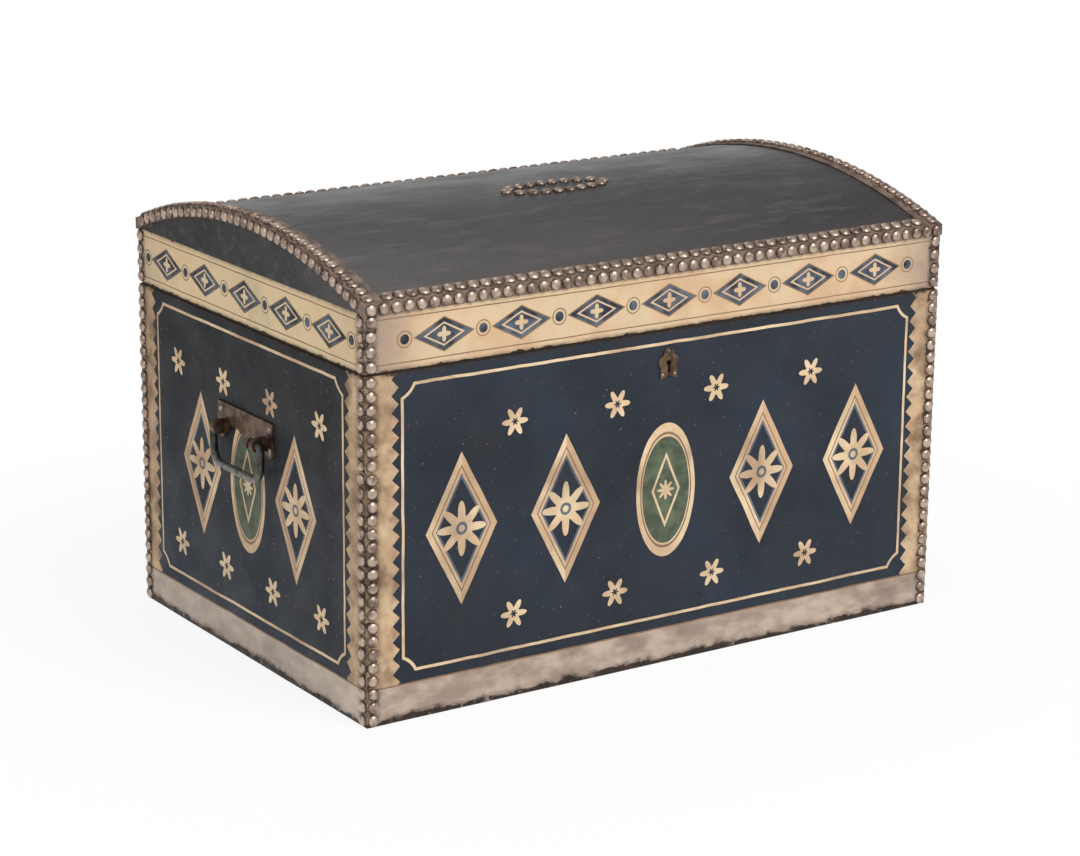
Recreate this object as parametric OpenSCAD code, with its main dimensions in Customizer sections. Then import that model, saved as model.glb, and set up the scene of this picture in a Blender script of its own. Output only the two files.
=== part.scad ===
// Deed box: a pine box with a coopered arch for a lid, covered in leather and close nailed.
// Millimetres. The origin is the middle of the underside, +X runs along the front to the
// right, -Y is the front and +Z is up. The lid is drawn closed and the handles hang down.

/* [Box] */
// Length of the box over its leather, end to end
box_length = 600; // [440:10:800]
// Depth of the box over its leather, front to back
box_depth = 400; // [300:10:520]
// Height of the body, from the floor to the seam under the lid
body_height = 300; // [200:10:420]
// Thickness of the side boards
board_t = 14; // [13.5:0.5:18]
// Thickness of the bottom board
bottom_t = 12; // [8:0.5:20]
// Depth of the rabbets that take the end boards
rabbet_depth = 6; // [3:0.5:9]

/* [Lid] */
// Gap of the seam between body and lid
seam_gap = 0.3; // [0.2:0.05:0.6]
// Height of the lid's sides, from the seam to the edge of the arch
lid_side_height = 58; // [44:1:90]
// Rise of the arch above its edges
arch_rise = 37; // [26:1:70]
// Thickness of a stave where it meets the next
stave_t = 9; // [6:0.5:12]

/* [Leather] */
// Thickness of the leather cover
leather_t = 2; // [1.5:0.25:3]
// How far the cover's edges stand back from the seam
leather_setback = 1; // [0.5:0.25:2]
// Height of the lid's painted band, from the seam to the dark leather of the arch
band_height = 50; // [36:1:54]
// Thickness of the binding along the lid's top edges
binding_t = 1.2; // [0.8:0.1:2]
// Width of the binding's leg on the sides and the ends
binding_side_width = 10; // [8:0.5:14]
// Width of the binding on top, along the front
binding_front_width = 13; // [12:0.5:24]
// Width of the binding on top, along the back
binding_back_width = 30; // [29:0.5:36]
// Width of the binding on top, along the two ends
binding_end_width = 19; // [15:0.5:28]

/* [Nails] */
// Diameter of a nail head
nail_d = 10.5; // [6:0.25:11]
// Height of a nail head
nail_h = 3.2; // [2:0.1:4]
// Pitch of the rows along the lid's top edges
row_pitch = 11.8; // [11.6:0.1:18]
// Pitch of the columns at the corners
column_pitch = 11.3; // [11.2:0.1:18]
// Distance from a corner to the middle of a nail
nail_inset = 6; // [5.5:0.25:8]
// Distance from the back corner to the middle of the back row on the dome
back_row_inset = 23; // [17:0.5:23.5]
// Length of the oval of nails on the dome
oval_length = 104; // [80:2:160]
// Width of the oval of nails on the dome
oval_width = 29; // [26:1:60]
// Pitch of the nails in the oval
oval_pitch = 12.4; // [11.6:0.1:18]
// Distance of the oval in front of the crown
oval_forward = 25; // [0:5:40]

/* [Lock] */
// Width of the lock's plate
lock_width = 66; // [60:1:90]
// Height of the lock's plate
lock_height = 44; // [42:1:60]
// Thickness of the lock's plates
lock_plate_t = 2; // [1.5:0.25:2.5]
// Wall of the lock's case
case_wall = 1.2; // [0.8:0.1:1.6]
// Height of the keyhole's round end above the lock plate's lower edge
key_rise = 15; // [14:0.5:16]
// Radius of the keyhole's round end
key_r = 2.6; // [2.2:0.1:3]
// Width of the keyhole's slot
key_slot = 2.6; // [2:0.1:3]
// Depth of the keyhole's slot under its round end
key_drop = 8; // [6:0.5:9]
// How far the bolt travels
bolt_travel = 9; // [8:0.25:9]
// Height of the bolt
bolt_height = 6; // [5:0.25:7]
// Thickness of the lock's staple along the box
staple_t = 5; // [4:0.25:6]

/* [Handles] */
// Length of a handle's backplate
plate_length = 98; // [90:1:120]
// Height of a handle's backplate
plate_height = 32; // [32:1:40]
// Thickness of a handle's backplate
plate_t = 2; // [1.5:0.25:3]
// Height of the bail's pivot above the floor
pivot_height = 205; // [110:5:240]
// Distance of the bail's pivot from the leather
pivot_reach = 10; // [9.5:0.5:14]
// Radius of the bail's rod
rod_r = 3.5; // [3:0.1:3.7]
// Distance between the middles of the bail's legs
bail_span = 84; // [80:1:88]
// Drop of the bail, from the pivot to the middle of the grip
bail_drop = 32; // [28:1:50]

/* [Hinges] */
// Length of a hinge
hinge_length = 60; // [50:1:90]
// Distance from the end of the box to the middle of a hinge
hinge_inset = 110; // [70:5:150]
// Thickness of a hinge leaf
leaf_t = 2; // [1.5:0.1:2.4]
// Radius of a hinge's knuckles
knuckle_r = 3; // [2.8:0.1:4]
// Radius of a hinge's pin
pin_r = 1.5; // [1.2:0.1:1.7]
// How far the lid opens before the hinge's tails meet
lid_opening = 100; // [80:5:110]

/* [Hidden] */
STAVES = 5;
$fn = 48;

// Colours, as the photograph shows them
pine = "#c49a64";
navy = "#2d3844";
cream = "#d5bb92";
charcoal = "#4d4f52";
brown = "#6b4a36";
nail_brass = "#9a8560";
iron = "#4a4b50";
bronze = "#6a5443";
arch_fn = 720;
eps = 0.01;

// The box
half_length = box_length / 2;
half_depth = box_depth / 2;
wood_length = box_length - 2 * leather_t;
wood_depth = box_depth - 2 * leather_t;
tongue_t = board_t - rabbet_depth;
lid_base = body_height + seam_gap;
arris_height = body_height + lid_side_height;

// The arch: its circles share one centre line, along X at the height arch_centre
arch_r = (half_depth * half_depth + arch_rise * arch_rise) / (2 * arch_rise);
arch_centre = arris_height + arch_rise - arch_r;
stave_r = arch_r - leather_t;
binding_r = arch_r + binding_t;
inner_r = stave_r - stave_t;
edge_angle = asin(wood_depth / 2 / stave_r);
stave_angle = 2 * edge_angle / STAVES;
function arch_height(r, y) = arch_centre + sqrt(r * r - y * y);
function arch_point(r, angle) = [r * sin(angle), arch_centre + r * cos(angle)];

// Nails
nail_sphere_r = (nail_d * nail_d / 4 + nail_h * nail_h) / (2 * nail_h);
nail_seat = 0.05;
function row_count(length, pitch) = max(1, round(length / pitch));
function row_place(i, length, pitch) = -length / 2 + i * length / row_count(length, pitch);

// The lock, let into the front board from inside
lock_top = body_height;
lock_bottom = lock_top - lock_height;
front_inner = -(half_depth - leather_t - board_t);
front_outer = -(half_depth - leather_t);
lock_clear = 0.3;
mortise_floor = 2.5;
case_depth = board_t - lock_plate_t - mortise_floor;
case_back = front_inner - lock_plate_t;
case_front = case_back - case_depth;
case_margin = 8;
case_rise = 3;
case_low = lock_bottom + case_rise;
case_half = lock_width / 2 - case_margin;
key_height = lock_bottom + key_rise;
key_pin_r = 1.2;
key_pin_reach = 1;
keyhole_reach = 5;
bolt_drop = 18;
bolt_z = body_height - bolt_drop;
staple_x = 12;
bolt_gap = 0.6;
bolt_end = staple_x - bolt_gap;
bolt_stand = 1.9;
bolt_front = case_front + case_wall + lock_clear + bolt_stand;
bolt_t = 3;
bolt_back = bolt_front + bolt_t;
bolt_tail_gap = 1.5;
bolt_start = -case_half + case_wall + bolt_tail_gap;
tongue_overlap = 3;
tongue_low = key_height + key_drop - tongue_overlap;
tongue_x = -11;
tongue_length = 12;
notch_r = 3;
guide_t = 2;
staple_wall = 1.7;
staple_front = bolt_front - lock_clear - staple_wall;
staple_back = bolt_back + lock_clear + staple_wall;
staple_clear = 0.7;
staple_foot = bolt_z - lock_clear - staple_wall;
link_length = 50;
link_middle = staple_x + staple_t / 2;
strip_inset = 2;
strip_width = board_t - strip_inset;
lock_screw_inset = 4;
lock_screw_rise = 4;
lock_screw_drop = 12;

// The escutcheon, drawn about the middle of the keyhole's round end
escutcheon_t = 1.2;
crest_r = 5.5;
crest_rise = 8.5;
shoulder_r = 6.5;
shoulder_x = 4;
shoulder_rise = 1;
skirt = [[-8, 0], [-9, -14], [-4, -12], [0, -10], [4, -12], [9, -14], [8, 0]];
escutcheon_pin_places = [[0, 11], [-6.3, -9.5], [6.3, -9.5]];
escutcheon_pin_r = 0.6;
escutcheon_pin_length = 5;
pin_head_r = 1.5;
pin_head_sink = 0.6;

// Screws, all of one size
screw_r = 1.5;
screw_head_r = 2.9;
screw_head_h = 1.4;
screw_length = 10;
screw_clear = 0.05;

// Handles
rivet_r = 1.8;
rivet_head_r = 3.6;
rivet_head_h = 2;
rivet_length = 10;
rivet_drop = 6.5;
pivot_rise = 12;
plate_bottom = pivot_height - pivot_rise;
lug_width = 13;
scallop_r = 16;
scallop_y = 18;
scallop_lift = 2;
ear_wall = 2.5;
ear_r = rod_r + ear_wall;
ear_clear = 0.1;
ear_t = 6;
ear_gap = 1;
ear_y = bail_span / 2 - rod_r - ear_gap - ear_t / 2;
stub_reach = 1.5;
stub_end = ear_y - ear_t / 2 - stub_reach;
top_bend = rod_r + ear_gap;
grip_bend = 14;

// Hinges
hinge_place = half_length - hinge_inset;
knuckle_stand = 0.5;
hinge_y = half_depth + knuckle_r + knuckle_stand;
hinge_z = body_height + seam_gap / 2;
leaf_reach = 12;
leaf_inner = half_depth - leather_t - leaf_reach;
pin_clear = 0.05;
pin_reach = 1;
knuckles = 5;
knuckle_gap = 0.3;
tail_r = 8;
tail_gap = 1;
tail_angle = (lid_opening + tail_gap) / 2;

// Turns a flat outline in Y and Z into a solid that runs along X
module along_x(x_from, x_to) {
    translate([x_from, 0, 0])
        rotate([90, 0, 90])
            linear_extrude(height = x_to - x_from)
                children();
}

// A flat outline in X and Z becomes a solid that runs along Y
module along_y(y_from, y_to) {
    translate([0, y_to, 0])
        rotate([90, 0, 0])
            linear_extrude(height = y_to - y_from)
                children();
}

module block(low, high) {
    translate(low)
        cube(high - low);
}

// Draws its child and the child's mirror image at the other end
module both_ends() {
    children();
    mirror([1, 0, 0])
        children();
}

// A screw that points down, with the top of its countersunk head at the origin
module screw(clear = 0) {
    translate([0, 0, -screw_length - clear])
        cylinder(r = screw_r + clear, h = screw_length + clear);
    translate([0, 0, -screw_head_h])
        cylinder(r1 = screw_r + clear, r2 = screw_head_r + clear, h = screw_head_h);
}

// A nail head that stands on the plane z = 0
module nail() {
    translate([0, 0, nail_seat])
        intersection() {
            translate([0, 0, nail_h - nail_sphere_r])
                sphere(r = nail_sphere_r);
            cylinder(r = nail_d, h = nail_h);
        }
}

// A nail on the front; face is how far the surface under it lies from the middle of the box
module front_nail(x, z, face = half_depth) {
    translate([x, -face, z])
        rotate([90, 0, 0])
            nail();
}

module left_nail(y, z, face = half_length) {
    translate([-face, y, z])
        rotate([0, -90, 0])
            nail();
}

// A nail on the arch, at an angle from the crown
module arch_nail(x, angle, r) {
    translate([x, 0, arch_centre])
        rotate([-angle, 0, 0])
            translate([0, 0, r])
                nail();
}

// The keyhole, with the middle of its round end at the origin
module keyhole() {
    circle(r = key_r);
    translate([-key_slot / 2, -key_drop])
        square([key_slot, key_drop]);
}

module keyhole_cut() {
    along_y(-half_depth - keyhole_reach, case_back)
        translate([0, key_height])
            keyhole();
}

// The space that the lock needs in the front board
module lock_mortise() {
    block([-case_half - lock_clear, case_front - lock_clear, case_low - lock_clear],
        [case_half + lock_clear, front_inner, lock_top + eps]);
    block([-lock_width / 2, case_back, lock_bottom], [lock_width / 2, front_inner + eps, lock_top + eps]);
    block([-lock_width / 2, front_inner - strip_width, lock_top - lock_plate_t],
        [lock_width / 2, front_inner + eps, lock_top + eps]);
}

// The three screws of one hinge leaf, pointing down
module hinge_screws(clear) {
    for (dx = [-1, 0, 1])
        translate([dx * hinge_length / 3, leaf_inner + leaf_reach / 2, 0])
            screw(clear);
}

module body_hinge_screws(x, clear) {
    translate([x, 0, body_height])
        hinge_screws(clear);
}

module lid_hinge_screws(x, clear) {
    translate([x, 0, lid_base])
        mirror([0, 0, 1])
            hinge_screws(clear);
}

// The recess for one hinge leaf, from its inner edge out through the leather
module leaf_recess(x, z_from, z_to) {
    block([x - hinge_length / 2, leaf_inner, z_from], [x + hinge_length / 2, half_depth + eps, z_to]);
}

module lock_screws_cut(clear) {
    for (x = [-1, 1], z = [lock_bottom + lock_screw_rise, lock_top - lock_screw_drop])
        translate([x * (lock_width / 2 - lock_screw_inset), front_inner, z])
            rotate([-90, 0, 0])
                screw(clear);
}

module handle_holes(clear) {
    for (y = [-1, 1], z = [plate_height - rivet_drop, rivet_drop])
        translate([-half_length, y * (plate_length / 2 - lug_width / 2), plate_bottom + z])
            rotate([0, 90, 0])
                translate([0, 0, -plate_t])
                    cylinder(r = rivet_r + clear, h = rivet_length + plate_t + clear);
}

// Boards of the body
module front_board() {
    color(pine)
        difference() {
            block([-wood_length / 2, front_outer, bottom_t], [wood_length / 2, front_inner, body_height]);
            both_ends()
                block([-wood_length / 2 - eps, front_inner - rabbet_depth, bottom_t - eps],
                    [-wood_length / 2 + board_t, front_inner + eps, body_height + eps]);
            lock_mortise();
            keyhole_cut();
            lock_screws_cut(screw_clear);
            escutcheon_pin_set(screw_clear);
        }
}

module back_board() {
    color(pine)
        difference() {
            block([-wood_length / 2, -front_inner, bottom_t], [wood_length / 2, -front_outer, body_height]);
            both_ends()
                block([-wood_length / 2 - eps, -front_inner - eps, bottom_t - eps],
                    [-wood_length / 2 + board_t, -front_inner + rabbet_depth, body_height + eps]);
            for (x = [-hinge_place, hinge_place]) {
                leaf_recess(x, body_height - leaf_t, body_height + eps);
                body_hinge_screws(x, screw_clear);
            }
        }
}

module left_end_board() {
    color(pine)
        difference() {
            block([-wood_length / 2, -wood_depth / 2 + tongue_t, bottom_t],
                [-wood_length / 2 + board_t, wood_depth / 2 - tongue_t, body_height]);
            handle_holes(screw_clear);
        }
}

module right_end_board() {
    mirror([1, 0, 0])
        left_end_board();
}

module bottom_board() {
    color(pine)
        block([-wood_length / 2, -wood_depth / 2, 0], [wood_length / 2, wood_depth / 2, bottom_t]);
}

// Leather of the body
module front_leather() {
    color(navy)
        difference() {
            block([-half_length, -half_depth, 0], [half_length, front_outer, body_height - leather_setback]);
            keyhole_cut();
            escutcheon_pin_set(screw_clear);
        }
}

module back_leather() {
    color(navy)
        difference() {
            block([-half_length, -front_outer, 0], [half_length, half_depth, body_height - leather_setback]);
            for (x = [-hinge_place, hinge_place])
                leaf_recess(x, body_height - leaf_t, body_height + eps);
        }
}

module left_leather() {
    color(navy)
        difference() {
            block([-half_length, -wood_depth / 2, 0],
                [-wood_length / 2, wood_depth / 2, body_height - leather_setback]);
            handle_holes(screw_clear);
        }
}

module right_leather() {
    mirror([1, 0, 0])
        left_leather();
}

// Corner columns of the body
column_length = body_height - 2 * nail_inset;
function column_height(i) = nail_inset + i * column_length / row_count(column_length, column_pitch);

module body_front_nails() {
    color(nail_brass)
        both_ends()
            for (i = [0:row_count(column_length, column_pitch)])
                front_nail(-half_length + nail_inset, column_height(i));
}

module body_back_nails() {
    mirror([0, 1, 0])
        body_front_nails();
}

module body_left_nails() {
    color(nail_brass)
        for (i = [0:row_count(column_length, column_pitch)], side = [-1, 1])
            left_nail(side * (half_depth - nail_inset), column_height(i));
}

module body_right_nails() {
    mirror([1, 0, 0])
        body_left_nails();
}

// The lock: a back plate and a strip along the board's top edge, with the pin that a pipe key turns on
module lock_plate() {
    color(iron)
        difference() {
            union() {
                block([-lock_width / 2, case_back, lock_bottom], [lock_width / 2, front_inner, lock_top]);
                block([-lock_width / 2, front_inner - strip_width, lock_top - lock_plate_t],
                    [lock_width / 2, front_inner, lock_top]);
                translate([0, case_back, key_height])
                    rotate([90, 0, 0])
                        cylinder(r = key_pin_r, h = case_depth + key_pin_reach);
            }
            block([staple_x - staple_clear, staple_front - staple_clear, lock_top - lock_plate_t - eps],
                [staple_x + staple_t + staple_clear, staple_back + staple_clear, lock_top + eps]);
            lock_screws_cut(screw_clear);
        }
}

// The case is open towards the plate, and carries two guides for the bolt
module lock_case() {
    case_top = lock_top - lock_plate_t;
    left_guide = -case_half + case_wall;
    right_guide = bolt_end + bolt_travel;
    color(iron)
        difference() {
            union() {
                difference() {
                    block([-case_half, case_front, case_low], [case_half, case_back, case_top]);
                    block([-case_half + case_wall, case_front + case_wall, case_low + case_wall],
                        [case_half - case_wall, case_back + eps, case_top + eps]);
                }
                bolt_guide(left_guide - eps, tongue_x - guide_t);
                bolt_guide(right_guide, case_half - case_wall + eps);
            }
            keyhole_cut();
        }
}

module bolt_guide(x_from, x_to) {
    block([x_from, case_front + case_wall - eps, bolt_z - guide_t - lock_clear],
        [x_to, bolt_back, bolt_z - lock_clear]);
}

// The bolt, drawn back; the key's bit turns in the notch of its tongue
module lock_bolt() {
    color(iron)
        along_y(bolt_front, bolt_back)
            difference() {
                union() {
                    translate([bolt_start, bolt_z])
                        square([bolt_end - bolt_start, bolt_height]);
                    translate([tongue_x, tongue_low])
                        square([tongue_length, bolt_z - tongue_low + eps]);
                }
                translate([tongue_x + tongue_length / 2, tongue_low])
                    circle(r = notch_r);
            }
}

// The flat spring that bears on the bolt: it slopes down from the case's wall and turns up at its end
module lock_spring() {
    spring_t = 0.7;
    spring_foot = bolt_z + bolt_height + lock_clear;
    spring_left = -case_half + case_wall;
    path = [[0, 5], [7, 1], [13, 0], [20, 1.2]];
    color(iron)
        along_y(bolt_front + lock_clear, bolt_back - lock_clear)
            translate([spring_left, spring_foot])
                polygon(concat(path, [for (i = [len(path) - 1:-1:0]) path[i] + [0, spring_t]]));
}

module body_screws() {
    color(iron) {
        lock_screws_cut(0);
        for (x = [-hinge_place, hinge_place])
            body_hinge_screws(x, 0);
    }
}

// The escutcheon: a rounded crest, two shoulders, and a skirt with two points and a notch between
module escutcheon_outline() {
    difference() {
        union() {
            translate([0, crest_rise])
                circle(r = crest_r);
            for (x = [-shoulder_x, shoulder_x])
                translate([x, shoulder_rise])
                    circle(r = shoulder_r);
            polygon(skirt);
        }
        keyhole();
    }
}

module escutcheon() {
    color(bronze)
        difference() {
            along_y(-half_depth - escutcheon_t, -half_depth)
                translate([0, key_height])
                    escutcheon_outline();
            escutcheon_pin_set(screw_clear);
        }
}

module escutcheon_pin_set(clear) {
    for (p = escutcheon_pin_places)
        translate([p[0], -half_depth - escutcheon_t - clear, key_height + p[1]])
            rotate([-90, 0, 0])
                cylinder(r = escutcheon_pin_r + clear, h = escutcheon_pin_length + 2 * clear);
}

module escutcheon_pins() {
    color(bronze) {
        escutcheon_pin_set(0);
        for (p = escutcheon_pin_places)
            translate([p[0], -half_depth - escutcheon_t, key_height + p[1]])
                rotate([90, 0, 0])
                    intersection() {
                        translate([0, 0, -pin_head_sink])
                            sphere(r = pin_head_r);
                        cylinder(r = pin_head_r, h = pin_head_r);
                    }
    }
}

// The handle's backplate: straight on top, with a point between two scallops and a lug at each side
module plate_outline() {
    difference() {
        union() {
            translate([-plate_length / 2, lug_width / 2])
                square([plate_length, plate_height - lug_width / 2]);
            for (y = [-1, 1])
                translate([y * (plate_length - lug_width) / 2, lug_width / 2])
                    circle(r = lug_width / 2);
            translate([-scallop_y, 0])
                square([2 * scallop_y, plate_height]);
        }
        for (y = [-1, 1])
            translate([y * scallop_y, -scallop_lift])
                circle(r = scallop_r);
    }
}

module left_handle_plate() {
    color(bronze)
        difference() {
            union() {
                along_x(-half_length - plate_t, -half_length)
                    translate([0, plate_bottom])
                        plate_outline();
                for (y = [-ear_y, ear_y])
                    translate([0, y, 0])
                        ear();
            }
            translate([-half_length - pivot_reach, plate_length / 2, pivot_height])
                rotate([90, 0, 0])
                    cylinder(r = rod_r + ear_clear, h = plate_length);
            handle_holes(screw_clear);
        }
}

// One ear of a handle, with its round end about the pivot
module ear() {
    along_y(-ear_t / 2, ear_t / 2) {
        translate([-half_length - pivot_reach, pivot_height])
            circle(r = ear_r);
        translate([-half_length - pivot_reach, pivot_height - ear_r])
            square([pivot_reach - plate_t / 2, 2 * ear_r]);
    }
}

module right_handle_plate() {
    mirror([1, 0, 0])
        left_handle_plate();
}

module left_handle_rivets() {
    rivet_sphere = (rivet_head_r * rivet_head_r + rivet_head_h * rivet_head_h) / (2 * rivet_head_h);
    color(bronze) {
        handle_holes(0);
        for (y = [-1, 1], z = [plate_height - rivet_drop, rivet_drop])
            translate([-half_length - plate_t, y * (plate_length / 2 - lug_width / 2), plate_bottom + z])
                rotate([0, -90, 0])
                    intersection() {
                        translate([0, 0, rivet_head_h - rivet_sphere])
                            sphere(r = rivet_sphere);
                        cylinder(r = rivet_head_r + 1, h = rivet_head_h);
                    }
    }
}

module right_handle_rivets() {
    mirror([1, 0, 0])
        left_handle_rivets();
}

// A quarter turn of rod in the Y-Z plane: it starts on the Y axis at bend_r and ends on the Z axis
module rod_bend(bend_r) {
    rotate([90, 0, 90])
        rotate_extrude(angle = 90)
            translate([bend_r, 0])
                circle(r = rod_r);
}

module half_bail() {
    leg_y = bail_span / 2;
    // Stub in the ear
    translate([0, stub_end, 0])
        rotate([-90, 0, 0])
            cylinder(r = rod_r, h = leg_y - top_bend - stub_end);
    translate([0, leg_y - top_bend, -top_bend])
        rod_bend(top_bend);
    // Leg
    translate([0, leg_y, -bail_drop + grip_bend])
        cylinder(r = rod_r, h = bail_drop - grip_bend - top_bend);
    translate([0, leg_y - grip_bend, -bail_drop + grip_bend])
        rotate([-90, 0, 0])
            rod_bend(grip_bend);
    // Half of the grip
    translate([0, -eps, -bail_drop])
        rotate([-90, 0, 0])
            cylinder(r = rod_r, h = leg_y - grip_bend + eps);
}

module left_bail() {
    color(iron)
        translate([-half_length - pivot_reach, 0, pivot_height]) {
            half_bail();
            mirror([0, 1, 0])
                half_bail();
        }
}

module right_bail() {
    mirror([1, 0, 0])
        left_bail();
}

// Where a hinge's knuckles lie: even ones belong to the body, odd ones to the lid
knuckle_length = hinge_length / knuckles;
function knuckle_from(i) = -hinge_length / 2 + i * knuckle_length + (i > 0 ? knuckle_gap / 2 : 0);
function knuckle_to(i) =
    -hinge_length / 2 + (i + 1) * knuckle_length - (i < knuckles - 1 ? knuckle_gap / 2 : 0);

// A wedge between two directions from the pin, measured from straight back
module sector(r, from, to) {
    intersection() {
        circle(r = r);
        polygon([
            [0, 0],
            [2 * r * cos(from), 2 * r * sin(from)],
            [2 * r * cos((from + to) / 2), 2 * r * sin((from + to) / 2)],
            [2 * r * cos(to), 2 * r * sin(to)]
        ]);
    }
}

// The leaf of the body, in Y and Z with the pin at the origin. The lid's leaf is its mirror image.
module leaf_flat(y_to) {
    translate([leaf_inner - hinge_y, -seam_gap / 2 - leaf_t])
        square([y_to - leaf_inner + hinge_y, leaf_t]);
}

module body_leaf() {
    clear_r = knuckle_r + knuckle_gap;
    // The leaf and its tail run the whole length, clear of the other leaf's knuckles
    along_x(-hinge_length / 2, hinge_length / 2) {
        leaf_flat(-clear_r);
        difference() {
            sector(tail_r, -90, -tail_angle);
            circle(r = clear_r);
        }
    }
}

module hinge_leaf(first) {
    difference() {
        union() {
            body_leaf();
            for (i = [first:2:knuckles - 1])
                along_x(knuckle_from(i), knuckle_to(i)) {
                    circle(r = knuckle_r);
                    leaf_flat(0);
                    sector(tail_r, -90, -tail_angle);
                }
        }
        translate([-hinge_length / 2 - pin_reach, 0, 0])
            rotate([0, 90, 0])
                cylinder(r = pin_r + pin_clear, h = hinge_length + 2 * pin_reach);
    }
}

module body_hinge_leaf(x) {
    color(iron)
        difference() {
            translate([x, hinge_y, hinge_z])
                hinge_leaf(0);
            body_hinge_screws(x, screw_clear);
        }
}

module lid_hinge_leaf(x) {
    color(iron)
        difference() {
            translate([x, hinge_y, hinge_z])
                mirror([0, 0, 1])
                    hinge_leaf(1);
            lid_hinge_screws(x, screw_clear);
        }
}

module left_hinge_body_leaf() {
    body_hinge_leaf(-hinge_place);
}

module right_hinge_body_leaf() {
    body_hinge_leaf(hinge_place);
}

module left_hinge_lid_leaf() {
    lid_hinge_leaf(-hinge_place);
}

module right_hinge_lid_leaf() {
    lid_hinge_leaf(hinge_place);
}

module hinge_pins() {
    color(iron)
        for (x = [-hinge_place, hinge_place])
            translate([x - hinge_length / 2 - pin_reach, hinge_y, hinge_z])
                rotate([0, 90, 0])
                    cylinder(r = pin_r, h = hinge_length + 2 * pin_reach);
}

// The lid's long rails: their top edges are bevelled to carry the outer staves
module rail_outline() {
    inner_edge = arch_point(inner_r, edge_angle);
    next_edge = arch_point(inner_r, edge_angle - stave_angle);
    slope = (next_edge[1] - inner_edge[1]) / (inner_edge[0] - next_edge[0]);
    rail_inner = -front_inner;
    polygon([
        [rail_inner, lid_base],
        [wood_depth / 2, lid_base],
        arch_point(stave_r, edge_angle),
        inner_edge,
        [rail_inner, inner_edge[1] + slope * (inner_edge[0] - rail_inner)]
    ]);
}

module lid_rail() {
    difference() {
        along_x(-wood_length / 2, wood_length / 2)
            rail_outline();
        both_ends()
            block([-wood_length / 2 - eps, -front_inner - eps, lid_base - eps],
                [-wood_length / 2 + board_t, -front_inner + rabbet_depth, arris_height + arch_rise]);
    }
}

module lid_back_rail() {
    color(pine)
        difference() {
            lid_rail();
            for (x = [-hinge_place, hinge_place]) {
                leaf_recess(x, lid_base - eps, lid_base + leaf_t);
                lid_hinge_screws(x, screw_clear);
            }
        }
}

module lid_front_rail() {
    color(pine)
        difference() {
            mirror([0, 1, 0])
                lid_rail();
            link_block(lid_base - eps);
            link_screw_set(screw_clear);
        }
}

// The lid's end boards: their top follows the flat undersides of the staves
module lid_end_outline() {
    intersection() {
        polygon(concat(
            [[wood_depth / 2, lid_base], [-wood_depth / 2, lid_base]],
            [for (i = [0:STAVES]) arch_point(inner_r, -edge_angle + i * stave_angle)]
        ));
        translate([-wood_depth / 2 + tongue_t, lid_base])
            square([wood_depth - 2 * tongue_t, lid_side_height + arch_rise]);
    }
}

module lid_left_end() {
    color(pine)
        along_x(-wood_length / 2, -wood_length / 2 + board_t)
            lid_end_outline();
}

module lid_right_end() {
    mirror([1, 0, 0])
        lid_left_end();
}

// A stave: round on top, flat underneath, with edges that point at the arch's centre
module stave(number) {
    low = -edge_angle + (number - 1) * stave_angle;
    high = low + stave_angle;
    color(pine)
        along_x(-wood_length / 2, wood_length / 2)
            intersection() {
                translate([0, arch_centre])
                    circle(r = stave_r, $fn = arch_fn);
                polygon([
                    arch_point(inner_r, low),
                    arch_point(arch_r, low),
                    arch_point(arch_r, high),
                    arch_point(inner_r, high)
                ]);
            }
}

// A strip that follows the arch between two radii, cut off at half_y on both sides
module arch_strip(outer, inner, half_y) {
    intersection() {
        translate([0, arch_centre])
            difference() {
                circle(r = outer, $fn = arch_fn);
                circle(r = inner, $fn = arch_fn);
            }
        translate([-half_y, arch_centre])
            square([2 * half_y, 2 * arch_r]);
    }
}

module dome_leather() {
    color(charcoal)
        along_x(-half_length, half_length)
            arch_strip(arch_r, stave_r, half_depth);
}

module lid_front_leather() {
    top_outer = arch_height(stave_r, half_depth);
    top_inner = arch_height(stave_r, wood_depth / 2);
    color(cream)
        along_x(-half_length, half_length)
            polygon([
                [-half_depth, lid_base + leather_setback],
                [-wood_depth / 2, lid_base + leather_setback],
                [-wood_depth / 2, top_inner],
                [-half_depth, top_outer]
            ]);
}

module lid_back_leather() {
    color(cream)
        difference() {
            mirror([0, 1, 0])
                lid_front_leather();
            for (x = [-hinge_place, hinge_place])
                leaf_recess(x, lid_base - eps, lid_base + leaf_t);
        }
}

module lid_left_leather() {
    color(cream)
        block([-half_length, -wood_depth / 2, lid_base + leather_setback],
            [-wood_length / 2, wood_depth / 2, body_height + band_height]);
}

module lid_right_leather() {
    mirror([1, 0, 0])
        lid_left_leather();
}

module left_arch_leather() {
    color(charcoal)
        along_x(-half_length, -wood_length / 2)
            intersection() {
                translate([0, arch_centre])
                    circle(r = stave_r, $fn = arch_fn);
                translate([-wood_depth / 2, body_height + band_height])
                    square([wood_depth, lid_side_height + arch_rise]);
            }
}

module right_arch_leather() {
    mirror([1, 0, 0])
        left_arch_leather();
}

// Binding along a long side: a leg on the side, and a leg on the dome between the end bindings
binding_low = arris_height + binding_t - binding_side_width;
module long_binding(dome_width) {
    color(brown) {
        along_x(-half_length - binding_t, half_length + binding_t)
            polygon([
                [-half_depth - binding_t, binding_low],
                [-half_depth, binding_low],
                [-half_depth, arch_height(binding_r, half_depth)],
                [-half_depth - binding_t, arch_height(binding_r, half_depth)]
            ]);
        along_x(-half_length + binding_end_width, half_length - binding_end_width)
            intersection() {
                arch_strip(binding_r, arch_r, half_depth);
                translate([-half_depth, arris_height])
                    square([dome_width, arch_rise]);
            }
    }
}

module front_binding() {
    long_binding(binding_front_width);
}

module back_binding() {
    mirror([0, 1, 0])
        long_binding(binding_back_width);
}

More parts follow.
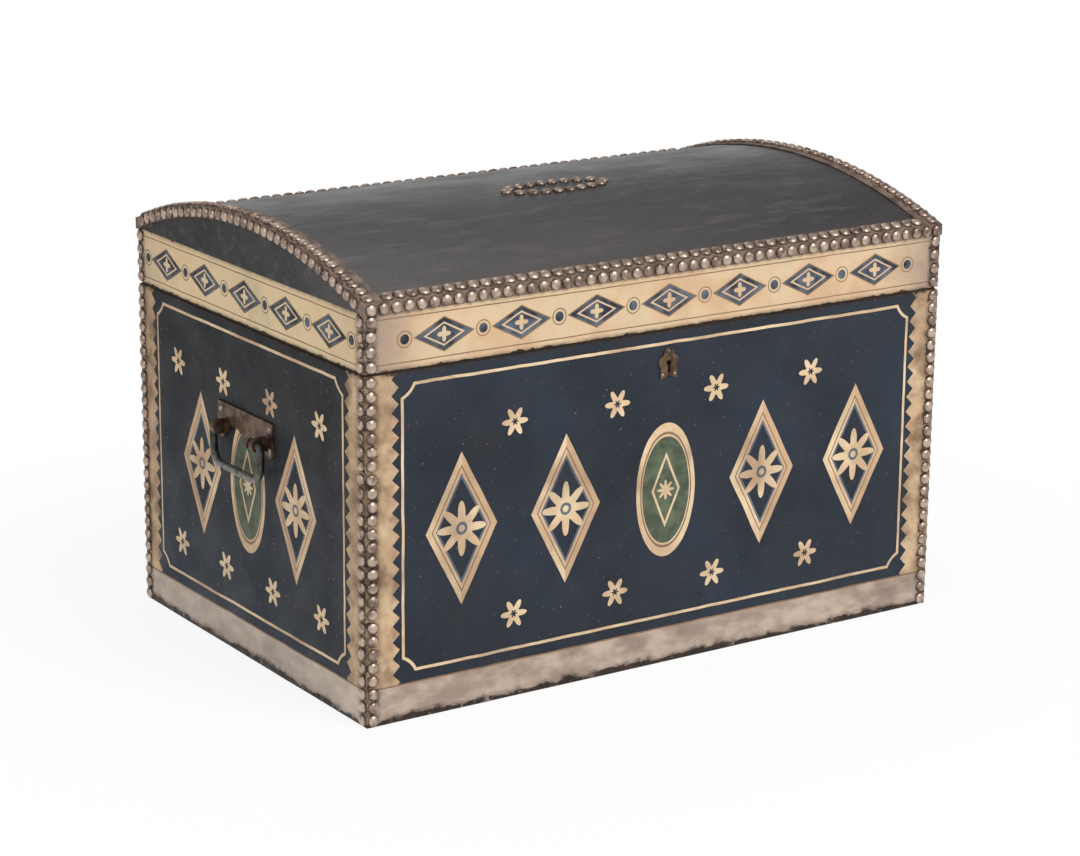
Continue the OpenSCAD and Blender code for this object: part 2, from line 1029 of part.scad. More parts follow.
// Binding along an end: it follows the arch, with one leg on the dome and one on the end
module left_binding() {
    color(brown) {
        along_x(-half_length, -half_length + binding_end_width)
            arch_strip(binding_r, arch_r, half_depth);
        along_x(-half_length - binding_t, -half_length)
            arch_strip(binding_r, binding_r - binding_side_width, half_depth);
    }
}

module right_binding() {
    mirror([1, 0, 0])
        left_binding();
}

// Nails of the lid's long sides: a row on the binding's side, a row on the dome, and short columns
long_row = box_length - 2 * nail_inset;
dome_row = box_length - 2 * binding_end_width - nail_d;
side_row_height = arris_height + binding_t - binding_side_width / 2;
function dome_row_angle(inset) = asin((half_depth - inset) / arch_r);
lid_column = binding_low - lid_base - leather_setback - nail_d;
function lid_column_height(i) =
    lid_base + leather_setback + nail_d / 2 + i * lid_column / floor(lid_column / column_pitch);

module lid_long_nails(dome_inset) {
    color(nail_brass) {
        for (i = [0:row_count(long_row, row_pitch)])
            front_nail(row_place(i, long_row, row_pitch), side_row_height, half_depth + binding_t);
        for (i = [0:row_count(dome_row, row_pitch)])
            arch_nail(row_place(i, dome_row, row_pitch), -dome_row_angle(dome_inset), binding_r);
        both_ends()
            for (i = [0:floor(lid_column / column_pitch)])
                front_nail(-half_length + nail_inset, lid_column_height(i));
    }
}

module lid_front_nails() {
    lid_long_nails(nail_inset);
}

module lid_back_nails() {
    mirror([0, 1, 0])
        lid_long_nails(back_row_inset);
}

// Nails of the lid's ends: a row on the dome, and a row on the end whose nails stand half-way between
end_row_angle = dome_row_angle(nail_inset);
end_row_length = 2 * end_row_angle * PI / 180 * arch_r;
end_row_r = binding_r - binding_side_width / 2;

module lid_left_nails() {
    count = row_count(end_row_length, row_pitch);
    step = 2 * end_row_angle / count;
    color(nail_brass) {
        for (i = [0:count])
            arch_nail(-half_length + nail_inset, -end_row_angle + i * step, binding_r);
        for (i = [0:count - 1]) {
            angle = -end_row_angle + (i + 0.5) * step;
            left_nail(end_row_r * sin(angle), arch_centre + end_row_r * cos(angle), half_length + binding_t);
        }
        for (i = [0:floor(lid_column / column_pitch)], side = [-1, 1])
            left_nail(side * (half_depth - nail_inset), lid_column_height(i));
    }
}

module lid_right_nails() {
    mirror([1, 0, 0])
        lid_left_nails();
}

// The oval: the run along it up to each turn, so that its nails can be set at even steps
oval_step = 5;
function oval_speed(turn) = norm([oval_length * sin(turn), oval_width * cos(turn)]) / 2 * PI / 180;
function oval_run(turn) =
    turn <= 0 ? 0 : oval_run(turn - oval_step) + oval_step * oval_speed(turn - oval_step / 2);
oval_turns = [for (turn = [0:oval_step:360]) [oval_run(turn), turn]];
oval_count = floor(oval_run(360) / oval_pitch);

module oval_nails() {
    color(nail_brass)
        for (i = [0:oval_count - 1]) {
            turn = lookup(oval_run(360) * i / oval_count, oval_turns);
            y = -oval_forward + oval_width / 2 * sin(turn);
            arch_nail(oval_length / 2 * cos(turn), asin(y / arch_r), arch_r);
        }
}

// The link plate under the front rail, with the staple that the bolt passes through
module link_block(low) {
    block([link_middle - link_length / 2, front_inner - strip_width, low],
        [link_middle + link_length / 2, front_inner, lid_base + lock_plate_t]);
}

module link_plate() {
    color(iron)
        difference() {
            union() {
                link_block(lid_base);
                block([staple_x, staple_front, staple_foot],
                    [staple_x + staple_t, staple_back, lid_base + eps]);
            }
            block([staple_x - eps, bolt_front - lock_clear, bolt_z - lock_clear],
                [staple_x + staple_t + eps, bolt_back + lock_clear, bolt_z + bolt_height + lock_clear]);
            link_screw_set(screw_clear);
        }
}

module link_screw_set(clear) {
    for (x = [-1, 1])
        translate([link_middle + x * link_length / 3, front_inner - strip_width / 2, lid_base])
            mirror([0, 0, 1])
                screw(clear);
}

module lid_screws() {
    color(iron) {
        link_screw_set(0);
        for (x = [-hinge_place, hinge_place])
            lid_hinge_screws(x, 0);
    }
}

front_board();
back_board();
left_end_board();
right_end_board();
bottom_board();
front_leather();
back_leather();
left_leather();
right_leather();
body_front_nails();
body_back_nails();
body_left_nails();
body_right_nails();
lock_plate();
lock_case();
lock_spring();
body_screws();
escutcheon();
escutcheon_pins();
left_handle_plate();
right_handle_plate();
left_handle_rivets();
right_handle_rivets();
left_hinge_body_leaf();
right_hinge_body_leaf();
hinge_pins();
lock_bolt();
left_bail();
right_bail();
lid_front_rail();
lid_back_rail();
lid_left_end();
lid_right_end();
stave(1);  // stave_1
stave(2);  // stave_2
stave(3);  // stave_3
stave(4);  // stave_4
stave(5);  // stave_5
dome_leather();
lid_front_leather();
lid_back_leather();
lid_left_leather();
lid_right_leather();
left_arch_leather();
right_arch_leather();
front_binding();
back_binding();
left_binding();
right_binding();
lid_front_nails();
lid_back_nails();
lid_left_nails();
lid_right_nails();
oval_nails();
link_plate();
left_hinge_lid_leaf();
right_hinge_lid_leaf();
lid_screws();
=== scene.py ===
# %% [markdown]
# # A deed box with an arched, close-nailed lid
#
# This notebook dresses a box that was built in CAD. The boards, the lock, the hinges and the
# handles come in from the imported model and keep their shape. What is made here is the skin that
# a trunk maker puts over the wood: painted leather, a dark leather top, a binding along the lid's
# edges, and some six hundred brass nails.

# %% The frame
import math
import random

import bmesh
import bpy
from mathutils import Matrix, Vector


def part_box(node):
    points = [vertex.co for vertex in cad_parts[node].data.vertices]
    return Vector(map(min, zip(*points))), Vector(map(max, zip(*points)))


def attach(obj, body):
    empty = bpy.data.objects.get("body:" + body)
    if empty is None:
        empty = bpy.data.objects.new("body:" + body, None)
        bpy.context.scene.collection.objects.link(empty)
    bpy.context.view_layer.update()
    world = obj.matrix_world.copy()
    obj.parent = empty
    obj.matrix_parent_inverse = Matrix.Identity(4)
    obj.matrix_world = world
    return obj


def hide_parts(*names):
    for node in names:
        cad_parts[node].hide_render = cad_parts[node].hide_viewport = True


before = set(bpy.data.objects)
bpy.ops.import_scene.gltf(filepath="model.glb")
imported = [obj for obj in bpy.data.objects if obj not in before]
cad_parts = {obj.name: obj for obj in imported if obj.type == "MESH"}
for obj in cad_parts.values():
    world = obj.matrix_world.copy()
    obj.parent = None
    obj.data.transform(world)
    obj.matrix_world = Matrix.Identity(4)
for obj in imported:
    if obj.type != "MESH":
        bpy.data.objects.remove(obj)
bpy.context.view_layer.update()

# %% [markdown]
# Every size comes from the frame or from a few driving values in millimetres. The arch is part of
# one circle, so its rise and the depth of the box give its radius and its centre.

# %% Sizes
MM = 0.001
front_low, front_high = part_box("front_leather")
half_length = front_high.x
half_depth = -front_low.y
hide_t = front_high.y - front_low.y
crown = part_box("dome_leather")[1].z
arch_rise = 37 * MM
arch_r = (half_depth ** 2 + arch_rise ** 2) / (2 * arch_rise)
arch_centre = crown - arch_r
print(f"box {2 * half_length:.3f} x {2 * half_depth:.3f} m, arch radius {arch_r:.3f} m")

# %% [markdown]
# The camera stands where the photographer stood. A long lens from over two metres away keeps the
# box's edges nearly parallel. The three angles turn a camera that looks along +Y.

# %% Camera
CAMERA_PLACE = Vector((-1.4964, -2.2404, 0.9210))
CAMERA_YAW, CAMERA_PITCH, CAMERA_ROLL = (math.radians(a) for a in (-33.79, -15.66, -0.485))
LENS_MM = 101.98
SENSOR_MM = 36

camera_data = bpy.data.cameras.new("camera")
camera_data.lens = LENS_MM
camera_data.sensor_width = SENSOR_MM
camera = bpy.data.objects.new("camera", camera_data)
bpy.context.scene.collection.objects.link(camera)
looks_along_y = Matrix.Rotation(math.radians(90), 4, "X")
turned = (
    Matrix.Rotation(CAMERA_YAW, 4, "Z")
    @ Matrix.Rotation(CAMERA_PITCH, 4, "X")
    @ Matrix.Rotation(CAMERA_ROLL, 4, "Y")
)
camera.matrix_world = Matrix.Translation(CAMERA_PLACE) @ turned @ looks_along_y
bpy.context.scene.camera = camera
print("camera at", tuple(round(c, 3) for c in CAMERA_PLACE))


# %% [markdown]
# Materials are node trees. One small function adds a node: plain values and other nodes go to its
# inputs in order, and anything else is a setting. Colours are written as the hex values that a
# picture shows, and Blender works in linear light, so one function converts them.

# %% Node and colour helpers
def linear(code):
    """An sRGB hex value as linear red, green and blue, with an alpha of 1."""
    parts = [int(code[i:i + 2], 16) / 255 for i in (1, 3, 5)]
    return (*[p / 12.92 if p <= 0.04045 else ((p + 0.055) / 1.055) ** 2.4 for p in parts], 1.0)


def add(tree, kind, *values, sockets=None, **settings):
    """Adds one node. Values go to its inputs in order, sockets to the inputs they name."""
    made = tree.nodes.new("ShaderNode" + kind)
    for name, setting in settings.items():
        setattr(made, name, setting)
    for place, value in [*enumerate(values), *(sockets or {}).items()]:
        if isinstance(value, bpy.types.Node):
            value = value.outputs[0]
        if isinstance(value, bpy.types.NodeSocket):
            tree.links.new(value, made.inputs[place])
        else:
            made.inputs[place].default_value = value
    return made


def new_tree(name):
    """A new material with an empty node tree."""
    made = bpy.data.materials.new(name)
    made.use_nodes = True
    made.node_tree.nodes.clear()
    return made, made.node_tree


def surface(tree, base, rough, height, depth, **fixed):
    """Ends a tree: the shader, its bump and the output. Fixed values go straight on the shader."""
    shader = add(tree, "BsdfPrincipled", sockets={"Base Color": base, "Roughness": rough})
    for name, value in fixed.items():
        shader.inputs[name.replace("_", " ")].default_value = value
    bump = add(tree, "Bump", sockets={"Height": height, "Strength": 1.0, "Distance": depth})
    tree.links.new(bump.outputs[0], shader.inputs["Normal"])
    add(tree, "OutputMaterial", shader)


print("a mid grey, #808080, is", round(linear("#808080")[0], 3), "in linear light")

# %% [markdown]
# ## The painted decoration
#
# The sides are leather that was painted with oil colour: a dark blue ground, cream ornament and a
# stone-coloured band at the foot. Such ornament was set out with compasses and a ruler, and then
# painted by hand. A picture of it could be wrapped round the box, but here each motif is a short
# formula in millimetres, so its edge stays sharp at any distance and its wear can follow it. A
# small noise is added to the place first, which gives the lines the wobble of a brush.

# %% Places and motifs on a face, in millimetres
PETAL_DEPTH = 0.28      # the share of a flower's radius by which its edge waves
INSIDE = -1             # a limit below every value, for a coat that fills its whole shape


def face_places(tree, along, wobble=1.6):
    """The run along a face and the height, in millimetres, each with a brush's wobble."""
    place = add(tree, "TexCoord").outputs["Object"]
    hand = add(tree, "TexNoise", sockets={"Vector": place, "Scale": 34.0, "Detail": 3.0})
    shift = add(tree, "VectorMath", hand.outputs["Color"], (0.5, 0.5, 0.5), operation="SUBTRACT")
    shift = add(tree, "VectorMath", shift, sockets={"Scale": wobble}, operation="SCALE")
    in_mm = add(tree, "VectorMath", place, sockets={"Scale": 1000.0}, operation="SCALE")
    moved = add(tree, "SeparateXYZ", add(tree, "VectorMath", in_mm, shift, operation="ADD"))
    return place, moved.outputs[along], moved.outputs["Z"]


def lozenge(tree, run, rise, half_width, half_height):
    """Grows from 0 in the middle of a lozenge to 1 on its edge."""
    across = add(tree, "Math", run, half_width, operation="DIVIDE")
    across = add(tree, "Math", across, operation="ABSOLUTE")
    up = add(tree, "Math", rise, half_height, operation="DIVIDE")
    up = add(tree, "Math", up, operation="ABSOLUTE")
    return add(tree, "Math", across, up, operation="ADD")


def oval(tree, run, rise, half_width, half_height):
    """Grows from 0 in the middle of an oval to 1 on its edge."""
    across = add(tree, "Math", run, half_width, operation="DIVIDE")
    across = add(tree, "Math", across, 2, operation="POWER")
    up = add(tree, "Math", rise, half_height, operation="DIVIDE")
    up = add(tree, "Math", up, 2, operation="POWER")
    total = add(tree, "Math", across, up, operation="ADD")
    return add(tree, "Math", total, operation="SQRT")


def flower(tree, run, rise, radius, petals):
    """Grows from 0 in the middle of a flower to 1 on the edge of its petals."""
    angle = add(tree, "Math", rise, run, operation="ARCTAN2")
    turn = add(tree, "Math", angle, petals, operation="MULTIPLY")
    wave = add(tree, "Math", turn, operation="COSINE")
    deep, mean = PETAL_DEPTH * radius, (1 - PETAL_DEPTH) * radius
    reach = add(tree, "Math", wave, deep, mean, operation="MULTIPLY_ADD")
    return add(tree, "Math", oval(tree, run, rise, 1, 1), reach, operation="DIVIDE")


def repeated(tree, value, pitch, start=0.0):
    """The place within one repeat of a row, with its middle at 0."""
    moved = add(tree, "Math", value, start, operation="SUBTRACT")
    return add(tree, "Math", moved, pitch / 2, -pitch / 2, operation="WRAP")


def span(low, high):
    """Two limits as a middle and a reach, which is how a comparing node wants them."""
    return (low + high) / 2, (high - low) / 2


def coated(tree, colour, coats, where=None):
    """Lays coats of colour in order, each where its value lies between two limits."""
    for value, low, high, coat in coats:
        mask = add(tree, "Math", value, *span(low, high), operation="COMPARE")
        if where is not None:
            mask = add(tree, "Math", mask, where, operation="MULTIPLY")
        colour = add(tree, "MixRGB", mask, colour, coat)
    return colour


# %% [markdown]
# Old paint is never one colour. The ground drifts in large soft clouds, it is chipped and cracked
# where it was knocked, and it is specked with dust. The same noises serve every painted face, so
# they are in functions. A colour is laid over another as a thin veil, through a soft step: the
# noise is turned into a strength that goes smoothly from least to most.

# %% Aged colours
NAVY, NAVY_DEEP, NAVY_PALE = linear("#222c39"), linear("#19202a"), linear("#2c3846")
CREAM, CREAM_TAN, CREAM_SHADE = linear("#e3cba6"), linear("#c6a583"), linear("#85694e")
# TOP_SHADE is the near black of the painted shade at the top of the body's ends
CREAM_YELLOW, STONE_BLEACHED, TOP_SHADE = linear("#ffebb8"), linear("#e6dccf"), linear("#131417")
STONE, STONE_DARK = linear("#bfab9b"), linear("#9a8779")
GREEN, GREEN_DARK = linear("#5f6953"), linear("#434c3c")
BLUE_GREY = linear("#5d6672")
HIDE, HIDE_DARK = linear("#6a4936"), linear("#241b16")
SMOOTH = {"interpolation_type": "SMOOTHSTEP"}


def clouds(tree, place, size_mm, detail=4.0, rough=0.55, stretch=(1, 1, 1)):
    """A noise from 0 to 1 whose blots are about size_mm across."""
    spread = add(tree, "Mapping", place, sockets={"Scale": stretch})
    return add(
        tree, "TexNoise",
        sockets={"Vector": spread, "Scale": 1000 / size_mm, "Detail": detail, "Roughness": rough},
    )


def veiled(tree, colour, over, value, low, high, least=0.0, most=1.0):
    """Lays one colour over another; its strength steps softly between two limits of a value."""
    strength = add(tree, "MapRange", value, low, high, least, most, **SMOOTH)
    return add(tree, "MixRGB", strength, colour, over)


def mottled(tree, place, dark, pale, size_mm, stretch=(1, 1, 1)):
    """A colour that drifts between two shades."""
    return veiled(tree, dark, pale, clouds(tree, place, size_mm, stretch=stretch), 0.32, 0.68)


def weathered(tree, place, colour, edge):
    """Chips, grime, cracks and specks over a painted face; edge is 1 where it wears most and
    darkens most, partly as painted shade.
    """
    chip_noise = clouds(tree, place, 9, detail=8.0, rough=0.66)
    limit = add(tree, "Math", edge, -0.2, 0.73, operation="MULTIPLY_ADD")
    chips = add(tree, "Math", chip_noise, limit, operation="GREATER_THAN")
    colour = add(tree, "MixRGB", chips, colour, mottled(tree, place, HIDE_DARK, HIDE, 14))
    dirt = clouds(tree, place, 45, detail=6.0)
    dirt = add(tree, "MapRange", dirt, 0.4, 0.75, 0.0, 0.35, **SMOOTH)
    # Darkening that grows with edge: grime, and at a foot or a seam also painted shade
    edge_darkening = clouds(tree, place, 7, detail=4.0)
    edge_darkening = add(tree, "MapRange", edge_darkening, 0.25, 0.7, 0.2, 0.75, **SMOOTH)
    grime_and_shade = add(tree, "Math", edge_darkening, edge, dirt, operation="MULTIPLY_ADD", use_clamp=True)
    colour = add(tree, "MixRGB", grime_and_shade, colour, HIDE_DARK)
    bent = clouds(tree, place, 16, detail=2.0).outputs["Color"]
    cells = {"Vector": bent, "Scale": 22.0}
    crack = add(tree, "TexVoronoi", sockets=cells, feature="DISTANCE_TO_EDGE")
    crack = add(tree, "Math", crack, 0.012, operation="LESS_THAN")
    patch = add(tree, "MapRange", clouds(tree, place, 60), 0.5, 0.62, **SMOOTH)
    crack = add(tree, "Math", crack, patch, operation="MULTIPLY")
    crack = add(tree, "Math", crack, 0.5, operation="MULTIPLY")
    colour = add(tree, "MixRGB", crack, colour, HIDE_DARK)
    specks = clouds(tree, place, 2.6, detail=1.0)
    return veiled(tree, colour, CREAM_TAN, specks, 0.71, 0.79, 0.0, 0.3), chips


def grain(tree, place, pore_mm=1.1):
    """The pores of a hide, as a height for the bump."""
    pores = add(tree, "TexVoronoi", sockets={"Vector": place, "Scale": 1000 / pore_mm})
    swell = clouds(tree, place, 7, detail=3.0)
    return add(tree, "Math", pores, 0.25, swell, operation="MULTIPLY_ADD")


SIDE_WEAR = (16, 9)     # how far from a corner its wear begins, and where it is full


def worn_paint(tree, place, colour, low, top, out, half):
    """Ends a painted face: wear at its foot, top and sides, with painted shade along its foot and
    top, dull patches and the hide's grain.
    """
    begins, full = SIDE_WEAR
    side = add(tree, "MapRange", out, half - begins, half - full, 0.0, 0.95, **SMOOTH)
    worn = add(tree, "Math", top, side, operation="MAXIMUM")
    worn = add(tree, "Math", low, worn, operation="MAXIMUM")
    colour, chips = weathered(tree, place, colour, worn)
    rough = add(tree, "MapRange", clouds(tree, place, 50), 0.3, 0.7, 0.5, 0.68, **SMOOTH)
    raised = add(tree, "Math", chips, -0.6, grain(tree, place), operation="MULTIPLY_ADD")
    surface(tree, colour, rough, raised, 0.00022, Specular_IOR_Level=0.3)


print("the navy ground in linear light:", tuple(round(c, 3) for c in NAVY[:3]))

# %% [markdown]
# ### The four sides of the body
#
# A row of tall lozenges stands on the blue ground, with a green oval in the middle and small
# six-petalled flowers between them. A thin string line runs round the field and steps in at its
# corners. The corners of the box are cream with a toothed edge, and the foot is stone-coloured.
# The same function paints the long sides and the ends: the axis, the spacing and the age differ.
# The ends are a little more faded, and painted shade darkens them towards the top.

# %% Painted leather of the body
HALF_LONG, HALF_END = 300, 200
FOOT_HEIGHT = 33
CORNER_WIDTH = 25
TOOTH = 7
FIELD_MIDDLE = 158
FIELD_TOP = 299
# the heights, in mm, between which the painted shade on the ends grows
TOP_SHADE_REACH = (60.0, 250.0)
LOZENGE_HALF = (35, 66)
LOZENGE_FLOWER_R = 24
OVAL_HALF = (31, 60)
HEART_HALF = (15, 34)
HEART_FLOWER_R = 9
FLOWER_R = 13
FLOWER_EYE = 0.28
FLOWER_RISE = 84
STRING_LINE = (9, 11.6)
STRING_STEP = 14
# how faded the ends are; on the body it also sets how much painted shade darkens them towards the
# top
END_FADED = 0.3


def painted_leather(name, along, half, pitch, faded):
    """Oil paint on leather: dull where it is worn, with the hide's grain under it."""
    made, tree = new_tree(name)
    place, run, height = face_places(tree, along)
    rise = add(tree, "Math", height, FIELD_MIDDLE, operation="SUBTRACT")
    out = add(tree, "Math", run, operation="ABSOLUTE")

    navy = mottled(tree, place, NAVY_DEEP, NAVY, 90)
    # Painted shade: the ground darkens towards the top, as much as the face is faded
    navy = veiled(tree, navy, TOP_SHADE, height, *TOP_SHADE_REACH, 0.0, 2.8 * faded)
    navy = veiled(tree, navy, NAVY_PALE, clouds(tree, place, 35), 0.55, 0.85, 0.0, 0.5)
    cream = mottled(tree, place, CREAM_TAN, CREAM, 40)

    # Lozenges, except in the middle
    cell = repeated(tree, run, pitch)
    outer = lozenge(tree, cell, rise, *LOZENGE_HALF)
    rows = math.floor((half - CORNER_WIDTH - LOZENGE_HALF[0]) / pitch)
    away = add(tree, "Math", out, *span(pitch / 2, (rows + 0.5) * pitch), operation="COMPARE")
    right_side = add(tree, "Math", cell, 0.0, operation="GREATER_THAN")
    rim = add(tree, "MixRGB", right_side, cream, CREAM_TAN)
    rim = coated(tree, rim, [(outer, 0.80, 0.835, CREAM_SHADE)])
    from_middle = oval(tree, cell, rise, 1, 1)
    colour = coated(tree, navy, [
        (outer, INSIDE, 1.0, rim),
        (outer, INSIDE, 0.72, BLUE_GREY),
        (outer, INSIDE, 0.66, navy),
        (flower(tree, cell, rise, LOZENGE_FLOWER_R, 8), INSIDE, 1.0, cream),
        (from_middle, INSIDE, 5.5, BLUE_GREY),
        (from_middle, INSIDE, 3, cream),
    ], away)

    # The green oval in the middle
    ring = oval(tree, run, rise, *OVAL_HALF)
    heart = lozenge(tree, run, rise, *HEART_HALF)
    colour = coated(tree, colour, [
        (ring, INSIDE, 1.0, cream),
        (ring, 0.83, 0.87, CREAM_SHADE),
        (ring, INSIDE, 0.8, mottled(tree, place, GREEN_DARK, GREEN, 12)),
        (heart, 0.84, 1.0, cream),
        (flower(tree, run, rise, HEART_FLOWER_R, 8), INSIDE, 1.0, cream),
    ])

    # Small flowers between the lozenges, in two rows
    beside = repeated(tree, run, pitch, pitch / 2)
    far = add(tree, "Math", rise, operation="ABSOLUTE")
    far = add(tree, "Math", far, FLOWER_RISE, operation="SUBTRACT")
    small = flower(tree, beside, far, FLOWER_R, 6)
    rows = math.floor((half - CORNER_WIDTH - 2 * FLOWER_R) / pitch + 0.5)
    within = add(tree, "Math", out, rows * pitch, operation="LESS_THAN")
    colour = coated(tree, colour, [(small, FLOWER_EYE, 1.0, cream)], within)

    # The string line, which steps in round the corners of the field
    from_side = add(tree, "Math", half - CORNER_WIDTH, out, operation="SUBTRACT")
    from_foot = add(tree, "Math", height, FOOT_HEIGHT, operation="SUBTRACT")
    from_top = add(tree, "Math", FIELD_TOP, height, operation="SUBTRACT")
    from_end = add(tree, "Math", from_foot, from_top, operation="MINIMUM")
    corner = oval(tree, from_side, from_end, 1, 1)
    corner = add(tree, "Math", corner, STRING_STEP, operation="SUBTRACT")
    edge = add(tree, "Math", from_side, from_end, operation="MINIMUM")
    edge = add(tree, "Math", edge, corner, operation="MINIMUM")
    colour = coated(tree, colour, [(edge, *STRING_LINE, cream)])

    # Corners with a toothed edge, and the foot
    tooth = add(tree, "Math", height, TOOTH, operation="PINGPONG")
    border = add(tree, "Math", from_side, tooth, operation="SUBTRACT")
    at_corner = add(tree, "Math", border, 0.0, operation="LESS_THAN")
    tan = mottled(tree, place, CREAM_SHADE, CREAM_TAN, 25)
    tan = veiled(tree, cream, tan, clouds(tree, place, 22), 0.35, 0.6, 0.35, 1.0)
    colour = add(tree, "MixRGB", at_corner, colour, tan)
    stone = mottled(tree, place, STONE_DARK, STONE, 30, stretch=(1, 1, 2))
    stone = add(tree, "MixRGB", faded, stone, STONE_BLEACHED)
    at_foot = add(tree, "Math", from_foot, 0.0, operation="LESS_THAN")
    colour = add(tree, "MixRGB", at_foot, colour, stone)
    colour = coated(tree, colour, [(from_foot, -1.4, 0.0, CREAM_SHADE)])

    # Wear gathers at the foot, the corners and the seam, and darkens them; the dark ragged foot is
    # partly painted contact shadow, and the dark seam partly painted shade
    ragged = clouds(tree, place, 18, detail=5.0)
    ragged = add(tree, "Math", ragged, 16.0, height, operation="MULTIPLY_ADD")
    low = add(tree, "MapRange", ragged, 17.5, 10.0, 0.0, 1.5, **SMOOTH)
    top = add(tree, "MapRange", height, FIELD_TOP - 5, FIELD_TOP, 0.0, 0.9, **SMOOTH)
    worn_paint(tree, place, colour, low, top, out, half)
    print(name, len(tree.nodes), "nodes")
    return made


painted_long = painted_leather("painted_leather_long_side", "X", HALF_LONG, 104, 0.0)
painted_end = painted_leather("painted_leather_end", "Y", HALF_END, 84, END_FADED)


# %% [markdown]
# ### The lid's painted band
#
# The band is the same paint on the same hide, in cream, with a row of lying lozenges and dots. It
# is the part of the box that hands touch most, so it is worn and stained.

# %% Painted band
BAND_LOW, BAND_MIDDLE, BAND_HIGH = 301, 326, 351
NAIL_COLUMN = 12
BAND_LOZENGE = (27, 13.5)
BAND_FLOWER_R = 6.5
BAND_DOT = 4.2
BAND_RING = (6.2, 7.2)
BAND_LINE = (18.2, 19.2)


def painted_band(name, along, half, pitch, faded):
    """Oil paint on leather, yellowed where it is faded and stained towards its corners."""
    made, tree = new_tree(name)
    place, run, height = face_places(tree, along, wobble=1.2)
    rise = add(tree, "Math", height, BAND_MIDDLE, operation="SUBTRACT")
    out = add(tree, "Math", run, operation="ABSOLUTE")
    cream = mottled(tree, place, CREAM_TAN, CREAM, 45)
    cream = add(tree, "MixRGB", faded, cream, CREAM_YELLOW)
    navy = mottled(tree, place, NAVY_DEEP, BLUE_GREY, 16)
    stain = add(tree, "Math", clouds(tree, place, 60), 90.0, out, operation="MULTIPLY_ADD")
    cream = veiled(tree, cream, STONE_DARK, stain, half - 30, half + 35, 0.0, 0.8 - 2 * faded)

    cell = repeated(tree, run, pitch)
    rows = math.floor((half - 2 * NAIL_COLUMN - BAND_LOZENGE[0]) / pitch)
    whole = add(tree, "Math", out, (rows + 0.5) * pitch, operation="LESS_THAN")
    outer = lozenge(tree, cell, rise, *BAND_LOZENGE)
    colour = coated(tree, cream, [
        (outer, INSIDE, 1.09, CREAM_SHADE),
        (outer, INSIDE, 1.0, navy),
        (outer, 0.62, 0.74, cream),
        (flower(tree, cell, rise, BAND_FLOWER_R, 4), INSIDE, 1.0, cream),
    ], whole)
    dot = oval(tree, repeated(tree, run, pitch, pitch / 2), rise, 1, 1)
    colour = coated(tree, colour, [
        (dot, INSIDE, BAND_DOT, navy),
        (dot, *BAND_RING, CREAM_SHADE),
        (add(tree, "Math", rise, operation="ABSOLUTE"), *BAND_LINE, CREAM_SHADE),
    ])

    # By the seam the band's foot is worn and darkened, partly as painted shade
    low = add(tree, "MapRange", height, BAND_LOW + 4, BAND_LOW, 0.0, 1.1, **SMOOTH)
    top = add(tree, "MapRange", height, BAND_HIGH - 5, BAND_HIGH, 0.0, 0.7, **SMOOTH)
    worn_paint(tree, place, colour, low, top, out, half)
    print(name, len(tree.nodes), "nodes")
    return made


band_long = painted_band("painted_band_long_side", "X", HALF_LONG, 75, 0.0)
band_end = painted_band("painted_band_end", "Y", HALF_END, 72, END_FADED)


# %% [markdown]
# ### Dark leather and binding
#
# The dome is unpainted hide, stained nearly black and polished by use, so it is smoother than the
# sides and carries a soft sheen with pale scuffs; a painted sheen lightens its front edge. The
# arched ends of the lid are the same hide without the polish, so they are duller, and painted
# shade makes them darker. The binding is a thin brown strip.

# %% Dark leather
# SHEEN_GREY is the colour of the painted sheen along the dome's front edge
SCUFF, DUST, SHEEN_GREY = linear("#5f5a56"), linear("#8a8580"), linear("#625e5b")


def dark_leather(name, dark, pale, dullest):
    """Stained hide with grain and pale scuffs; dullest is the roughness of its dull patches."""
    made, tree = new_tree(name)
    place = add(tree, "TexCoord").outputs["Object"]
    colour = mottled(tree, place, linear(dark), linear(pale), 90, stretch=(0.4, 1, 1))
    drawn = clouds(tree, place, 12, detail=9.0, rough=0.72, stretch=(0.2, 1, 1))
    colour = veiled(tree, colour, SCUFF, drawn, 0.5, 0.68, 0.0, 0.5)
    colour = veiled(tree, colour, DUST, clouds(tree, place, 2.6, detail=3.0), 0.66, 0.74, 0.0, 0.4)

    # Painted sheen: the hide is lighter along the front edge, and most at the left
    parts = add(tree, "SeparateXYZ", place)
    rubbed = add(tree, "MapRange", parts.outputs["Y"], -0.05, -0.19, 0.0, 0.42, **SMOOTH)
    leftward = add(tree, "MapRange", parts.outputs["X"], 0.3, -0.15, 0.1, 1.0, **SMOOTH)
    rubbed = add(tree, "Math", rubbed, leftward, operation="MULTIPLY")
    colour = add(tree, "MixRGB", rubbed, colour, SHEEN_GREY)

    dull = clouds(tree, place, 32, detail=7.0, rough=0.65, stretch=(0.5, 1, 1))
    rough = add(tree, "MapRange", dull, 0.3, 0.7, dullest - 0.12, dullest, **SMOOTH)
    surface(tree, colour, rough, grain(tree, place, 1.4), 0.0003, Specular_IOR_Level=0.45)
    return made


def binding_leather():
    """Thin brown strip, blotched by age."""
    made, tree = new_tree("brown_binding_leather")
    place = add(tree, "TexCoord").outputs["Object"]
    colour = mottled(tree, place, linear("#4a3c34"), linear("#7f6a5b"), 12)
    surface(tree, colour, 0.55, grain(tree, place, 0.9), 0.0002)
    return made


dark_hide = dark_leather("waxed_dark_leather", "#242226", "#343033", 0.42)
# The ends' hide is duller, and its darker colours are painted shade
dull_shaded_hide = dark_leather("unwaxed_dark_leather_with_painted_shade", "#19181a", "#262425", 0.66)
binding_hide = binding_leather()
print(dark_hide.name, dull_shaded_hide.name, binding_hide.name, sep=", ")

